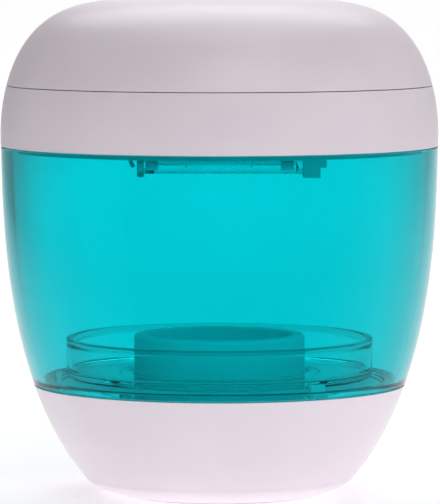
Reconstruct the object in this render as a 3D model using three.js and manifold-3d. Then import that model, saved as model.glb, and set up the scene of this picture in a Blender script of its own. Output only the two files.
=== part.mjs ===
import * as THREE from "three";
import { mergeVertices } from "three/addons/utils/BufferGeometryUtils.js";
import Module from "manifold-3d";

const wasm = await Module();
wasm.setup();

// A pocket-sized case that cleans a pacifier with ultraviolet light.
// Millimetres, +Z up, the front faces -Y, the foot stands on z = 0 and the lid's hinge is at the back.

// Outside shape: the side follows two power curves, one closing over the crown and one under the bowl
const widestRadius = 38.45;
const totalHeight = 87.1;
const crownPower = 1.934;
const crownFullness = 5.156;
const crownReachShare = 1.00215;
const bowlPower = 2.7434;
const bowlFullness = 2.1263;
const bowlReachShare = 1.12545;
const footPower = 1.472;
const crownRise = 0.5;
const footEdgeHeight = 3;
const footLift = 0.25;

// Places up the case as shares of its height, and radii as shares of its widest radius
const heightShares = {
  baseSeam: 0.22204, lidSeam: 0.70264, domeSeam: 0.82434, deck: 0.2215, dish: 0.3174, drum: 0.3231,
  crownStart: 0.72782, bowlStart: 0.78439,
};
const planShares = {
  foot: 0.47594, pad: 0.44213, ballast: 0.54356, deckScrews: 0.3381, dish: 0.70221, drumGap: 0.40572,
  drum: 0.39012, recess: 0.3251, rest: 0.10403, trayRing: 0.58257, hinge: 0.3121,
};
const crownStart = totalHeight * heightShares.crownStart;
const crownReach = (totalHeight - crownStart) * crownReachShare;
const bowlStart = totalHeight * heightShares.bowlStart;
const bowlReach = bowlStart * bowlReachShare;

// Seams between the shells, with the clearance left between neighbours
const fit = 0.3;
const baseSeam = totalHeight * heightShares.baseSeam;
const lidSeam = totalHeight * heightShares.lidSeam;
const domeSeam = totalHeight * heightShares.domeSeam;
const overrun = 1;
const weld = 0.0001;

// Walls
const shellWall = 2.2;
const windowWall = 2;
const domeWall = 2;

// Base: bowl, pad, ballast and deck
const footRadius = widestRadius * planShares.foot;
const padRadius = widestRadius * planShares.pad;
const padThickness = 1;
const padEdge = 0.4;
const baseFloor = 2;
const baseCorner = 1.2;
const rebateDepth = 2.8;
const rimThickness = 1;
const sealWidth = 0.9;
const sealHeight = 0.7;
const tongueWidth = 1.15;
const shelfRise = 1;
const ballastRadius = widestRadius * planShares.ballast;
const ballastShare = 0.54;
const deckTop = totalHeight * heightShares.deck;
const deckThickness = 1.9;
const deckScrewCircle = widestRadius * planShares.deckScrews;
const deckScrewCount = 3;
const bossRadius = 3;
const bossShoulder = 1.2;
const lugWidth = 3;
const lugDepth = 1.2;
const lugHeight = 2.25;
const lugAngle = -0.955;

// Holder in the chamber: a clear dish around an opaque drum
const dishRadius = widestRadius * planShares.dish;
const dishTop = totalHeight * heightShares.dish;
const dishWall = 0.95;
const dishLip = 1.3;
const dishLipReach = 0.35;
const dishFloor = 1;
const dishCorner = 0.8;
const dishHole = widestRadius * planShares.drumGap;
const standHeight = 1.15;
const standWidth = 2;
const drumRadius = widestRadius * planShares.drum;
const drumTop = totalHeight * heightShares.drum;
const drumEdge = 0.6;
const drumLip = 0.4;
const drumFloor = 3.35;
const recessRadius = widestRadius * planShares.recess;
const restRadius = widestRadius * planShares.rest;
const restRise = 2;
const restCover = 1.2;

// Hinge at the back
const knuckleRadius = 2;
const pinRadius = 0.8;
const hingeY = widestRadius + knuckleRadius + fit;
const hingeHalf = widestRadius * planShares.hinge;
const middleKnuckleShare = 0.475;
const bracketReach = 6.8;
const bracketRootDepth = 0.45;
const bracketAnchorDepth = 3.55;
const bracketLean = 0.646;

// Lid: ring, tray and dome
const ledgeRise = 2.4;
const ledgeHeight = 1.3;
const ledgeReach = 2.75;
const skirtDrop = 2;
const skirtRise = 3;
const skirtWidth = 1.3;
const trayThickness = 1.4;
const trayRingRadius = widestRadius * planShares.trayRing;
const trayRingWall = 1.5;
const trayRingDrop = 2.1;
const sealRibWidth = 0.9;
const sealRibDepth = 1.2;
const lidSealWidth = 2.55;
const lidSealDepth = 1.3;
const lidSealLip = 0.3;
const lidScrewInset = 9.45;
const lidScrewCount = 3;
const lidBossRadius = 2.8;
const lidBossInset = 1.5;
const lidScrewReach = 8.3;

// Reflector and lamp under the tray
const reflectorThickness = 0.7;
const reflectorLip = 2.1;
const reflectorDrop = 1;
const lampRadius = 1.2;
const lampDrop = 4.2;
const lampShares = { left: 0.6205, right: 0.70982 };
const lampEndCone = 0.5;
const clipWidth = 2.2;
const clipThickness = 0.5;
const clipStem = 1.2;
const clipMouth = 1.32;
const capLength = 1.2;
const capWall = 0.3;
const socketInset = 1.3;
const socketLength = 4.2;
const socketHalfWidth = 2.4;
const socketChin = 0.3;
const socketBore = 1.9;
const socketNotch = 1.1;
const lampLeadRadius = 0.35;
const lampLeadBend = 0.55;
const lampLeadHole = 0.8;

// Main board on the tray
const boardThickness = 1.2;
const boardMargin = 1.2;
const boardTabHalf = 6;
const boardTabSetback = 0.6;
const boardScrewXShare = 0.82;
const boardScrewYShare = 0.32;
const postRadius = 2.2;
const postHole = 1;
const postBite = 0.6;
const cellShares = { halfLength: 0.6, front: -0.784, back: 0.016, height: 0.588 };
const cellEdge = 1;
const cellLeadRadius = 0.45;
const coilShares = { x: -0.36, y: 0.36, length: 0.44, width: 0.32, height: 0.49 };
const coilCheek = 1.6;
const coilWaist = 0.8;
const chipShares = { x: 0.32, y: 0.32 };
const chipLength = 5;
const chipWidth = 4;
const chipHeight = 1.4;
const chipLegCount = 4;
const chipLegPitch = 1.27;
const chipLegWidth = 0.4;
const chipLegReach = 1;
const chipLegHeight = 0.5;

// Charging socket and its flap
const usbHalfWidth = 3.75;
const usbHeight = 2.5;
const usbSetback = 0.25;
const usbDepth = 5.1;
const usbShell = 0.4;
const usbTongueHalf = 1.8;
const usbTongueHeight = 0.5;
const usbTongueSetback = 1;
const usbHeadroom = 1.3;
const portMargin = 0.4;
const flapHalfWidth = 5;
const flapHeight = 5.3;
const flapThickness = 0.9;
const flapSink = 0.15;
const plugHalfWidth = 3.5;
const plugHeight = 1.9;
const plugClearance = 0.5;

// Button, switch and light on the small board under the crown
const buttonRadius = 6;
const buttonDish = 0.3;
const buttonEdge = 0.3;
const buttonFlange = 0.9;
const buttonFlangeHeight = 0.7;
const buttonStemRadius = 1.5;
const buttonStemDrop = 2.2;
const smallBoardDrop = 7.5;
const smallBoardMargin = 2.5;
const smallPostGap = 2.4;
const smallPostY = -3;
const smallPostRise = 0.9;
const smallPilotDepth = 3.5;
const switchHalf = 3;
const switchHeight = 2.8;
const switchWell = 0.8;
const plungerRadius = 1.6;
const plungerHeight = 2;
const ledHalfX = 1.2;
const ledHalfY = 1;
const ledHeight = 1.1;
const lightGap = 1.7;
const lightRadius = 1.2;
const lightFlange = 0.7;
const lightFlangeHeight = 0.8;
const lightDrop = 4.3;
const ribbonHalf = 2.5;
const ribbonThickness = 0.4;
const ribbonShares = { low: 0.48, high: 0.04 };
const ribbonSteps = 8;

// Screws
const screwRadius = 1;
const screwHead = 2.4;
const screwHeadHeight = 1;
const screwClearance = 1.4;
const screwPilot = 1.3;
const smallScrewRadius = 0.7;
const smallScrewHead = 1.8;
const smallScrewHeadHeight = 1;
const lowHeadHeight = 0.6;
const driveWidth = 0.5;
const driveDepth = 0.35;
const driveShare = 0.65;
const deckScrewReach = 8.7;

// Number of flats on round pieces
const shellFacets = 40;
const roundFacets = 32;
const smallFacets = 16;
const tinyFacets = 12;
const wireFacets = 8;

const quarterTurn = Math.PI / 2;
const axisX = new THREE.Vector3(1, 0, 0);
const axisY = new THREE.Vector3(0, 1, 0);
const axisZ = new THREE.Vector3(0, 0, 1);

// Heights and places that follow from the sizes above
const baseRim = baseSeam - fit / 2;
const baseLedge = baseSeam - rebateDepth;
const windowLow = baseSeam + fit / 2;
const windowRim = lidSeam - fit / 2;
const ringLow = lidSeam + fit / 2;
const ringHigh = domeSeam - fit / 2;
const domeLow = domeSeam + fit / 2;
const crownEdge = totalHeight - crownRise;
const padRoof = padThickness + fit;
const floorTop = padRoof + baseFloor;
const deckLow = deckTop - deckThickness;
const ballastLow = floorTop + fit;
const ballastHigh = ballastLow + (deckLow - ballastLow) * ballastShare;
const deckScrewTop = padRoof + deckScrewReach;
const holderLow = deckTop + fit;
const recessFloor = holderLow + drumFloor;
const restTop = recessFloor + restRise;
const ledgeLow = lidSeam + ledgeRise;
const ledgeHigh = ledgeLow + ledgeHeight;
const ledgeRadius = widestRadius - shellWall - ledgeReach;
const skirtLow = domeSeam - skirtDrop;
const skirtHigh = domeSeam + skirtRise;
const trayHigh = ledgeLow - fit;
const trayLow = trayHigh - trayThickness;
const trayRingLow = trayLow - trayRingDrop;
const hungHigh = trayLow - fit;
const lampHeight = hungHigh - lampDrop;
const lampLeftReach = trayRingRadius * lampShares.left;
const lampRightReach = trayRingRadius * lampShares.right;
const clipX = lampLeftReach + capWall - capLength - clipWidth / 2;
const socketLeft = lampRightReach - socketInset;
const socketRight = socketLeft + socketLength;
const leadLeftX = -(lampLeftReach + capWall + 2 * fit + lampLeadRadius + lampLeadBend);
const leadRightX = (socketLeft + socketRight) / 2;
const lidScrewCircle = widestRadius - lidScrewInset;
const lidPilotTop = ledgeHigh + lidScrewReach - trayThickness - fit;
const lidScrewTop = lidPilotTop - fit;
const boardLow = ledgeHigh + fit;
const boardHigh = boardLow + boardThickness;
const boardRadius = lidScrewCircle - lidBossRadius - boardMargin;
const boardScrewX = boardRadius * boardScrewXShare;
const boardScrewY = boardRadius * boardScrewYShare;
const postHoleFloor = trayHigh - postBite;
const partsLow = boardHigh + fit;
const ceilingEdge = crownEdge - domeWall;
const smallBoardLow = ceilingEdge - smallBoardDrop;
const smallBoardHigh = smallBoardLow + boardThickness;
const smallPartsLow = smallBoardHigh + fit;
const smallPostX = buttonRadius + buttonFlange + postRadius + smallPostGap;
const smallBoardHalf = smallPostX + smallBoardMargin;
const lightY = -(buttonRadius + buttonFlange + lightRadius + lightFlange + lightGap);
const smallBoardFront = lightY - smallBoardMargin;
const smallBoardBack = switchHalf + smallBoardMargin;
const smallPostTop = ceilingEdge + smallPostRise;
const smallPilotTop = smallPartsLow + smallPilotDepth;
const room = smallBoardLow - partsLow;
const cellHeight = room * cellShares.height;
const usbFront = widestRadius - shellWall - usbSetback;
const portMiddle = partsLow + usbHeight / 2;
const flapLow = portMiddle - flapHeight / 2;
const flapHigh = flapLow + flapHeight;
const buttonStemLow = ceilingEdge - buttonStemDrop;
const plungerTop = buttonStemLow - fit;
const middleKnuckleHalf = hingeHalf * middleKnuckleShare;

// Surface finishes
const finish = {
  shell: { color: 0xe9dfe7, roughness: 0.4, metalness: 0 },
  window: { color: 0x14c3c8, roughness: 0.06, metalness: 0, transparent: true, opacity: 0.45 },
  clear: { color: 0xd9f4f4, roughness: 0.08, metalness: 0, transparent: true, opacity: 0.4 },
  inner: { color: 0xd8d6da, roughness: 0.5, metalness: 0 },
  silicone: { color: 0xc4c2c6, roughness: 0.8, metalness: 0 },
  seal: { color: 0xdad8dc, roughness: 0.85, metalness: 0 },
  steel: { color: 0xb9bcc0, roughness: 0.35, metalness: 1 },
  mirror: { color: 0xdfe2e5, roughness: 0.15, metalness: 1 },
  quartz: { color: 0xeef4fb, roughness: 0.05, metalness: 0, transparent: true, opacity: 0.5 },
  dark: { color: 0x2a2c2e, roughness: 0.6, metalness: 0 },
  board: { color: 0x1f6b3a, roughness: 0.5, metalness: 0 },
  cell: { color: 0xb7bcc2, roughness: 0.4, metalness: 0.6 },
  ferrite: { color: 0x3a3633, roughness: 0.7, metalness: 0 },
  red: { color: 0xb02020, roughness: 0.6, metalness: 0 },
  amber: { color: 0xc98a3a, roughness: 0.5, metalness: 0 },
};

// Turns a triangle mesh into a solid, leaving out triangles that have no area.
function solid(geometry) {
  geometry.deleteAttribute("normal");
  geometry.deleteAttribute("uv");
  const merged = mergeVertices(geometry, weld);
  const corners = merged.index.array;
  const kept = [];
  for (let i = 0; i < corners.length; i += 3) {
    const [a, b, c] = corners.slice(i, i + 3);
    if (a !== b && b !== c && c !== a) {
      kept.push(a, b, c);
    }
  }
  const vertProperties = new Float32Array(merged.attributes.position.array);
  const triVerts = new Uint32Array(kept);
  return new wasm.Manifold(new wasm.Mesh({ numProp: 3, vertProperties, triVerts }));
}

// Solid of revolution about the vertical axis from [radius, height] corners, listed up the outside.
function turned(corners, facets) {
  const points = corners.map(([r, z]) => new THREE.Vector2(r, z));
  const geometry = new THREE.LatheGeometry(points, facets);
  geometry.rotateX(quarterTurn);
  return solid(geometry);
}

// The same for a ring, whose section closes on itself.
function turnedRing(corners, facets) {
  return turned([...corners, corners[0]], facets);
}

function box(left, right, front, back, low, high) {
  const geometry = new THREE.BoxGeometry(right - left, back - front, high - low);
  geometry.translate((left + right) / 2, (front + back) / 2, (low + high) / 2);
  return solid(geometry);
}

function rod(radius, low, high, x, y, facets) {
  const geometry = new THREE.CylinderGeometry(radius, radius, high - low, facets);
  geometry.rotateX(quarterTurn);
  geometry.translate(x, y, (low + high) / 2);
  return solid(geometry);
}

function rodAlongX(radius, left, right, y, z, facets) {
  const geometry = new THREE.CylinderGeometry(radius, radius, right - left, facets);
  geometry.rotateZ(-quarterTurn);
  geometry.translate((left + right) / 2, y, z);
  return solid(geometry);
}

// A [y, z] outline pushed along X.
function slab(outline, left, right) {
  const shape = new THREE.Shape(outline.map(([y, z]) => new THREE.Vector2(y, z)));
  const geometry = new THREE.ExtrudeGeometry(shape, { depth: right - left, bevelEnabled: false });
  geometry.applyMatrix4(new THREE.Matrix4().makeBasis(axisY, axisZ, axisX));
  geometry.translate(left, 0, 0);
  return solid(geometry);
}

// A round wire through a list of [x, y, z] places.
function wire(places, radius) {
  const path = new THREE.CatmullRomCurve3(places.map((place) => new THREE.Vector3(...place)));
  const shape = new THREE.Shape();
  shape.absarc(0, 0, radius, 0, 2 * Math.PI);
  const settings = { steps: places.length * 2, curveSegments: wireFacets / 2, extrudePath: path };
  return solid(new THREE.ExtrudeGeometry(shape, { ...settings, bevelEnabled: false }));
}

// Places spread evenly on a circle about the axis.
function around(count, radius, start) {
  const places = [];
  for (let i = 0; i < count; i += 1) {
    const angle = start + (i * 2 * Math.PI) / count;
    places.push([radius * Math.cos(angle), radius * Math.sin(angle)]);
  }
  return places;
}

// Points of an arc in a [y, z] outline.
function arc(y, z, radius, from, to, steps) {
  const points = [];
  for (let i = 0; i <= steps; i += 1) {
    const angle = from + ((to - from) * i) / steps;
    points.push([y + radius * Math.cos(angle), z + radius * Math.sin(angle)]);
  }
  return points;
}

// Radius of the outside surface at a height.
function outside(z) {
  const over = Math.max(0, z - crownStart) / crownReach;
  const under = Math.max(0, bowlStart - z) / bowlReach;
  const crown = (1 - over ** crownPower) ** (1 / crownFullness);
  const bowl = (1 - under ** bowlPower) ** (1 / bowlFullness);
  return widestRadius * crown * bowl;
}

// Section points of the side between two heights, set in by a wall.
function side(from, to, steps, wall) {
  const points = [];
  for (let i = 0; i <= steps; i += 1) {
    const z = from + ((to - from) * i) / steps;
    points.push([outside(z) - wall, z]);
  }
  return points;
}

// Inside of the crown: the outside shape lowered and set in by a wall.
function underCrown(from, to, steps, wall) {
  return side(from + wall, to + wall, steps, wall).map(([r, z]) => [r, z - wall]);
}

// Height of the crown's gently domed top at a radius.
function crownTop(r) {
  return totalHeight - crownRise * (r / outside(crownEdge)) ** 2;
}

function footPad() {
  return turned(
    [
      [0, 0],
      [padRadius - padEdge, 0],
      [padRadius, padEdge],
      [padRadius, padThickness],
      [0, padThickness],
    ],
    roundFacets,
  );
}

// Opaque bowl with a recess for the pad, a rebate for the window and holes for the deck's screws.
function baseShell() {
  const rebate = outside(baseLedge) - rimThickness;
  const edge = [];
  const reach = outside(footEdgeHeight) - footRadius;
  for (let i = 0; i < 4; i += 1) {
    const angle = (quarterTurn * i) / 4;
    const rise = (footEdgeHeight - footLift) * (1 - Math.cos(angle) ** footPower);
    edge.push([footRadius + reach * Math.sin(angle) ** footPower, footLift + rise]);
  }
  const bowl = turned(
    [
      [0, padRoof],
      [padRadius + fit, padRoof],
      [padRadius + fit, footLift],
      ...edge,
      ...side(footEdgeHeight, baseRim, 7, 0),
      [rebate, baseRim],
      [rebate, baseLedge],
      ...side(baseLedge, floorTop + baseCorner, 4, shellWall),
      [outside(floorTop) - shellWall - baseCorner, floorTop],
      [0, floorTop],
    ],
    shellFacets,
  );
  const seat = padRoof + lowHeadHeight + fit;
  return around(deckScrewCount, deckScrewCircle, quarterTurn).reduce((body, [x, y]) => {
    const hole = rod(screwClearance, padRoof - overrun, floorTop + overrun, x, y, tinyFacets);
    const sink = rod(screwHead + fit, padRoof - overrun, seat, x, y, tinyFacets);
    return body.subtract(hole).subtract(sink);
  }, bowl);
}

// Steel plate that keeps the case upright with its lid open.
function ballastPlate() {
  const plate = rod(ballastRadius, ballastLow, ballastHigh, 0, 0, roundFacets);
  return around(deckScrewCount, deckScrewCircle, quarterTurn).reduce((body, [x, y]) => {
    const reach = bossRadius + fit;
    const hole = rod(reach, ballastLow - overrun, ballastHigh + overrun, x, y, smallFacets);
    return body.subtract(hole);
  }, plate);
}

// Floor of the chamber, with stepped screw bosses that clamp the ballast and lugs that centre the dish.
function deck() {
  const radius = tongueInner() - fit;
  const boss = bossRadius + bossShoulder;
  let body = rod(radius, deckLow, deckTop, 0, 0, shellFacets);
  for (const [x, y] of around(deckScrewCount, deckScrewCircle, quarterTurn)) {
    body = body.add(rod(boss, ballastHigh + fit, deckLow + overrun, x, y, smallFacets));
    body = body.add(rod(bossRadius, ballastLow, deckLow, x, y, smallFacets));
    body = body.subtract(rod(screwPilot, ballastLow - overrun, deckScrewTop + fit, x, y, tinyFacets));
  }
  const lugTop = deckTop + lugHeight;
  const lug = box(radius - lugDepth, radius - weld, -lugWidth / 2, lugWidth / 2, deckLow, lugTop);
  for (let i = 0; i < deckScrewCount; i += 1) {
    const degrees = THREE.MathUtils.radToDeg(lugAngle) + (i * 360) / deckScrewCount;
    body = body.add(lug.rotate([0, 0, degrees]));
  }
  return body.subtract(rod(screwPilot, deckLow - overrun, deckTop + overrun, 0, 0, tinyFacets));
}

function tongueOuter() {
  return outside(baseLedge) - rimThickness - fit;
}

function tongueInner() {
  return tongueOuter() - tongueWidth;
}

// Square ring squeezed between the bowl's ledge and the window's tongue.
function baseSeal() {
  const low = baseLedge + fit;
  const outer = tongueOuter();
  return turnedRing(
    [
      [outer - sealWidth, low],
      [outer, low],
      [outer, low + sealHeight],
      [outer - sealWidth, low + sealHeight],
    ],
    shellFacets,
  );
}

// Interior of a shell, taken to the middle of its wall, for trimming what stands on the outside.
function core(wall, low, high) {
  return turned([[0, low], ...side(low, high, 4, wall / 2), [0, high]], shellFacets);
}

// Outline of a hinge bracket with its knuckle; up is 1 for the lid and -1 for the window.
function bracketOutline(up) {
  const turn = up * Math.PI;
  const rim = lidSeam + (up * fit) / 2;
  const tip = lidSeam + up * bracketReach;
  const anchor = widestRadius - bracketAnchorDepth;
  return [
    ...arc(hingeY, lidSeam, knuckleRadius, up * bracketLean, -turn, 9),
    [hingeY - knuckleRadius, rim],
    [anchor, rim],
    [anchor, tip],
    [widestRadius - bracketRootDepth, tip],
  ];
}

function pinHole() {
  return rodAlongX(pinRadius + fit, -hingeHalf - overrun, hingeHalf + overrun, hingeY, lidSeam, tinyFacets);
}

// Tinted clear wall of the chamber, with a tongue below and the middle knuckle at the back.
function chamber() {
  const low = baseLedge + sealHeight + 2 * fit;
  const inner = tongueInner();
  const shelf = windowLow + shelfRise;
  const wall = turnedRing(
    [
      [inner, low],
      [tongueOuter(), low],
      [tongueOuter(), windowLow],
      ...side(windowLow, windowRim, 8, 0),
      ...side(windowRim, shelf, 6, windowWall),
      [inner, shelf],
    ],
    shellFacets,
  );
  const bracket = slab(bracketOutline(-1), -middleKnuckleHalf, middleKnuckleHalf)
    .subtract(core(windowWall, baseSeam, lidSeam));
  return wall.add(bracket).subtract(pinHole());
}

function hingePin() {
  const half = hingeHalf - fit;
  return rodAlongX(pinRadius, -half, half, hingeY, lidSeam, tinyFacets);
}

// A screw standing head down; its cross drive is cut into the head's lower face.
function screw(x, y, head, headHeight, shank, low, high) {
  const reach = head * driveShare;
  const half = driveWidth / 2;
  const depth = low + driveDepth;
  return rod(head, low, low + headHeight, x, y, tinyFacets)
    .add(rod(shank, low + headHeight - weld, high, x, y, tinyFacets))
    .subtract(box(x - reach, x + reach, y - half, y + half, low - overrun, depth))
    .subtract(box(x - half, x + half, y - reach, y + reach, low - overrun, depth));
}

// The same screw turned over, head up, between two heights.
function screwFromAbove(x, y, head, headHeight, shank, low, high) {
  return screw(x, y, head, headHeight, shank, -high, -low).mirror([0, 0, 1]);
}

// Clear dish that stands round the drum and catches drops.
function holderDish() {
  const inner = dishRadius - dishWall;
  const under = holderLow + standHeight;
  const floor = under + dishFloor;
  return turnedRing(
    [
      [dishHole, holderLow],
      [dishHole + standWidth, holderLow],
      [dishHole + standWidth, under],
      [dishRadius - dishCorner, under],
      [dishRadius, under + dishCorner],
      [dishRadius, dishTop],
      [inner - dishLipReach, dishTop],
      [inner - dishLipReach, dishTop - dishLip],
      [inner, dishTop - dishLip - dishLipReach],
      [inner, floor + dishCorner],
      [inner - dishCorner, floor],
      [dishHole, floor],
    ],
    shellFacets,
  );
}

// Opaque drum with a recess that takes a pacifier's knob.
function cradle() {
  return turned(
    [
      [0, restTop - restCover],
      [screwPilot, restTop - restCover],
      [screwPilot, holderLow],
      [drumRadius, holderLow],
      [drumRadius, drumTop - drumEdge],
      [drumRadius - drumEdge, drumTop],
      [recessRadius + drumLip, drumTop],
      [recessRadius, drumTop - drumLip],
      [recessRadius, recessFloor],
      [restRadius, recessFloor],
      [restRadius, restTop],
      [0, restTop],
    ],
    roundFacets,
  );
}

// White ring under the dome, with the outer knuckles and the charging port at the back.
function lidRing() {
  const ring = turnedRing(
    [
      ...side(ringLow, ringHigh, 4, 0),
      ...side(ringHigh, ledgeHigh, 2, shellWall),
      [ledgeRadius, ledgeHigh],
      [ledgeRadius, ledgeLow],
      ...side(ledgeLow, ringLow, 1, shellWall),
    ],
    shellFacets,
  );
  const outline = bracketOutline(1);
  const near = middleKnuckleHalf + fit;
  const brackets = slab(outline, near, hingeHalf)
    .add(slab(outline, -hingeHalf, -near))
    .subtract(core(shellWall, lidSeam, domeSeam));
  const portHalf = usbHalfWidth + portMargin;
  const portLow = partsLow - portMargin;
  const portHigh = partsLow + usbHeight + portMargin;
  const back = widestRadius + overrun;
  const port = box(-portHalf, portHalf, ledgeRadius, back, portLow, portHigh);
  const recessDepth = flapSink + flapThickness + fit;
  const recess = flapBlock(fit, overrun).subtract(core(2 * recessDepth, lidSeam, domeSeam));
  return ring.add(brackets).subtract(pinHole()).subtract(port).subtract(recess);
}

// Block at the back of the ring that bounds the flap, grown by a margin on its four sides.
function flapBlock(margin, reach) {
  const half = flapHalfWidth + margin;
  return box(-half, half, ledgeRadius, widestRadius + reach, flapLow - margin, flapHigh + margin);
}

// Thin flap that follows the ring's surface, with a plug on its inner side.
function usbFlap() {
  const skin = core(2 * flapSink, lidSeam, domeSeam).subtract(
    core(2 * (flapSink + flapThickness), lidSeam - overrun, domeSeam + overrun),
  );
  const low = portMiddle - plugHeight / 2;
  const plugBack = widestRadius - flapSink - flapThickness / 2;
  const plug = box(-plugHalfWidth, plugHalfWidth, usbFront + plugClearance, plugBack, low, low + plugHeight);
  return flapBlock(0, overrun).intersect(skin).add(plug.intersect(core(2 * flapSink, lidSeam, domeSeam)));
}

// Top shell: a skirt inside the ring, screw bosses, posts for the small board and the button's hole.
function lidDome() {
  const outer = outside(ringHigh) - shellWall - fit;
  const inner = outer - skirtWidth;
  const hole = buttonRadius + fit;
  const crownSteps = [0.75, 0.5].map((share) => outside(crownEdge) * share);
  const shell = turnedRing(
    [
      [inner, skirtLow],
      [outer, skirtLow],
      [outer, domeLow],
      ...side(domeLow, crownEdge - crownRise, 7, 0),
      ...crownRim(),
      ...crownSteps.map((r) => [r, crownTop(r)]),
      [hole, crownTop(hole)],
      [hole, ceilingEdge + crownRise],
      ...underCrown(ceilingEdge, skirtHigh, 4, domeWall),
    ],
    shellFacets,
  );
  const inside = turned(
    [
      [0, lidSeam],
      [ledgeRadius, lidSeam],
      ...underCrown(skirtHigh, ceilingEdge + domeWall / 2, 4, domeWall / 2),
      [0, ceilingEdge + domeWall / 2],
    ],
    shellFacets,
  );
  let body = shell;
  for (const [x, y] of around(lidScrewCount, lidScrewCircle, quarterTurn / 3)) {
    const boss = rod(lidBossRadius, ledgeLow, crownEdge - lidBossInset, x, y, smallFacets);
    body = body.add(boss.intersect(inside));
    body = body.subtract(rod(screwPilot, ledgeLow - overrun, lidPilotTop, x, y, tinyFacets));
  }
  for (const x of [-smallPostX, smallPostX]) {
    body = body.add(rod(postRadius, smallPartsLow, smallPostTop, x, smallPostY, tinyFacets));
    body = body.subtract(rod(postHole, smallPartsLow - overrun, smallPilotTop, x, smallPostY, tinyFacets));
  }
  const notchHalf = usbHalfWidth + portMargin;
  const notchFront = usbFront - usbDepth;
  const notchLow = skirtLow - overrun;
  body = body.subtract(box(-notchHalf, notchHalf, notchFront, outer + overrun, notchLow, notchTop()));
  const lightHole = lightRadius + fit;
  return body.subtract(rod(lightHole, ceilingEdge - overrun, totalHeight + overrun, 0, lightY, tinyFacets));
}

// Top of the notch that clears the charging socket under the dome's skirt.
function notchTop() {
  return partsLow + usbHeight + usbHeadroom;
}

// Last two steps of the side before the crown's flat top.
function crownRim() {
  const middle = crownEdge - crownRise / 2;
  return [
    [outside(middle), middle],
    [outside(crownEdge), crownEdge],
  ];
}

// Plate that closes the lid, with a ring round the lamp, a rib for the seal and posts for the board.
function lampTray() {
  const rim = outside(ringLow) - shellWall - fit;
  const ringInner = trayRingRadius - trayRingWall;
  const rib = rim - lidSealWidth - fit;
  let body = turned(
    [
      [0, trayLow],
      [ringInner, trayLow],
      [ringInner, trayRingLow],
      [trayRingRadius, trayRingLow],
      [trayRingRadius, trayLow],
      [rib - sealRibWidth, trayLow],
      [rib - sealRibWidth, trayLow - sealRibDepth],
      [rib, trayLow - sealRibDepth],
      [rib, trayLow],
      [rim, trayLow],
      [rim, trayHigh],
      [0, trayHigh],
    ],
    shellFacets,
  );
  for (const x of [-boardScrewX, boardScrewX]) {
    body = body.add(rod(postRadius, trayHigh - weld, boardLow - fit, x, boardScrewY, tinyFacets));
    body = body.subtract(rod(postHole, postHoleFloor, boardLow, x, boardScrewY, tinyFacets));
  }
  for (const [x, y] of around(lidScrewCount, lidScrewCircle, quarterTurn / 3)) {
    body = body.subtract(rod(screwClearance, trayLow - overrun, trayHigh + overrun, x, y, tinyFacets));
  }
  for (const x of [leadLeftX, leadRightX]) {
    body = body.subtract(rod(lampLeadHole, trayLow - overrun, trayHigh + overrun, x, 0, tinyFacets));
  }
  return body;
}

// Soft ring in the corner outside the tray's rib, reaching into the window's mouth.
function lidSeal() {
  const outer = outside(ringLow) - shellWall - fit;
  const low = hungHigh - lidSealDepth;
  return turnedRing(
    [
      [outer - lidSealWidth, low],
      [outer - lidSealLip, low],
      [outer, low + lidSealLip],
      [outer, hungHigh],
      [outer - lidSealWidth, hungHigh],
    ],
    shellFacets,
  );
}

// Polished dish inside the tray's ring, slotted for the clips, the socket and the far lead.
function reflector() {
  const edge = trayRingRadius - trayRingWall - fit;
  const flat = edge - reflectorLip;
  const low = hungHigh - reflectorThickness;
  let body = turned(
    [
      [0, low],
      [flat, low],
      [edge, low - reflectorDrop],
      [edge, hungHigh - reflectorDrop],
      [flat, hungHigh],
      [0, hungHigh],
    ],
    roundFacets,
  );
  const half = clipWidth / 2 + fit;
  const slot = clipStem / 2 + fit;
  const [under, over] = [low - 2 * reflectorDrop, hungHigh + overrun];
  for (const x of [-clipX, clipX]) {
    body = body.subtract(box(x - half, x + half, -slot, slot, under, over));
  }
  const wide = socketHalfWidth + fit;
  body = body.subtract(box(socketLeft - fit, socketRight + fit, -wide, wide, under, over));
  return body.subtract(rod(lampLeadHole, under, over, leadLeftX, 0, tinyFacets));
}

// Straight quartz tube with tapered ends.
function uvLamp() {
  const profile = [
    [0, -lampLeftReach],
    [lampRadius - lampEndCone, -lampLeftReach],
    [lampRadius, lampEndCone - lampLeftReach],
    [lampRadius, lampRightReach - lampEndCone],
    [lampRadius - lampEndCone, lampRightReach],
    [0, lampRightReach],
  ];
  return turned(profile, tinyFacets).rotate([0, 90, 0]).translate([0, 0, lampHeight]);
}

// Metal cap over the lamp's free end.
function lampCap() {
  const inner = lampRadius + fit;
  const outer = inner + capWall;
  const end = -lampLeftReach - fit;
  const profile = [
    [0, end - capWall],
    [outer, end - capWall],
    [outer, end - capWall + capLength],
    [inner, end - capWall + capLength],
    [inner, end],
    [0, end],
  ];
  return turned(profile, tinyFacets).rotate([0, 90, 0]).translate([0, 0, lampHeight]);
}

// Spring clip: a loop open below the lamp's middle, with a stem up through the reflector.
function lampClip(x) {
  const inner = lampRadius + fit;
  const outer = inner + clipThickness;
  const from = clipMouth - quarterTurn;
  const to = 3 * quarterTurn - clipMouth;
  const loop = [
    ...arc(0, lampHeight, outer, from, to, 14),
    ...arc(0, lampHeight, inner, to, from, 14),
  ];
  const stemLow = lampHeight + inner + clipThickness / 2;
  const left = x - clipWidth / 2;
  return slab(loop, left, left + clipWidth)
    .add(box(left, left + clipWidth, -clipStem / 2, clipStem / 2, stemLow, hungHigh));
}

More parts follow.
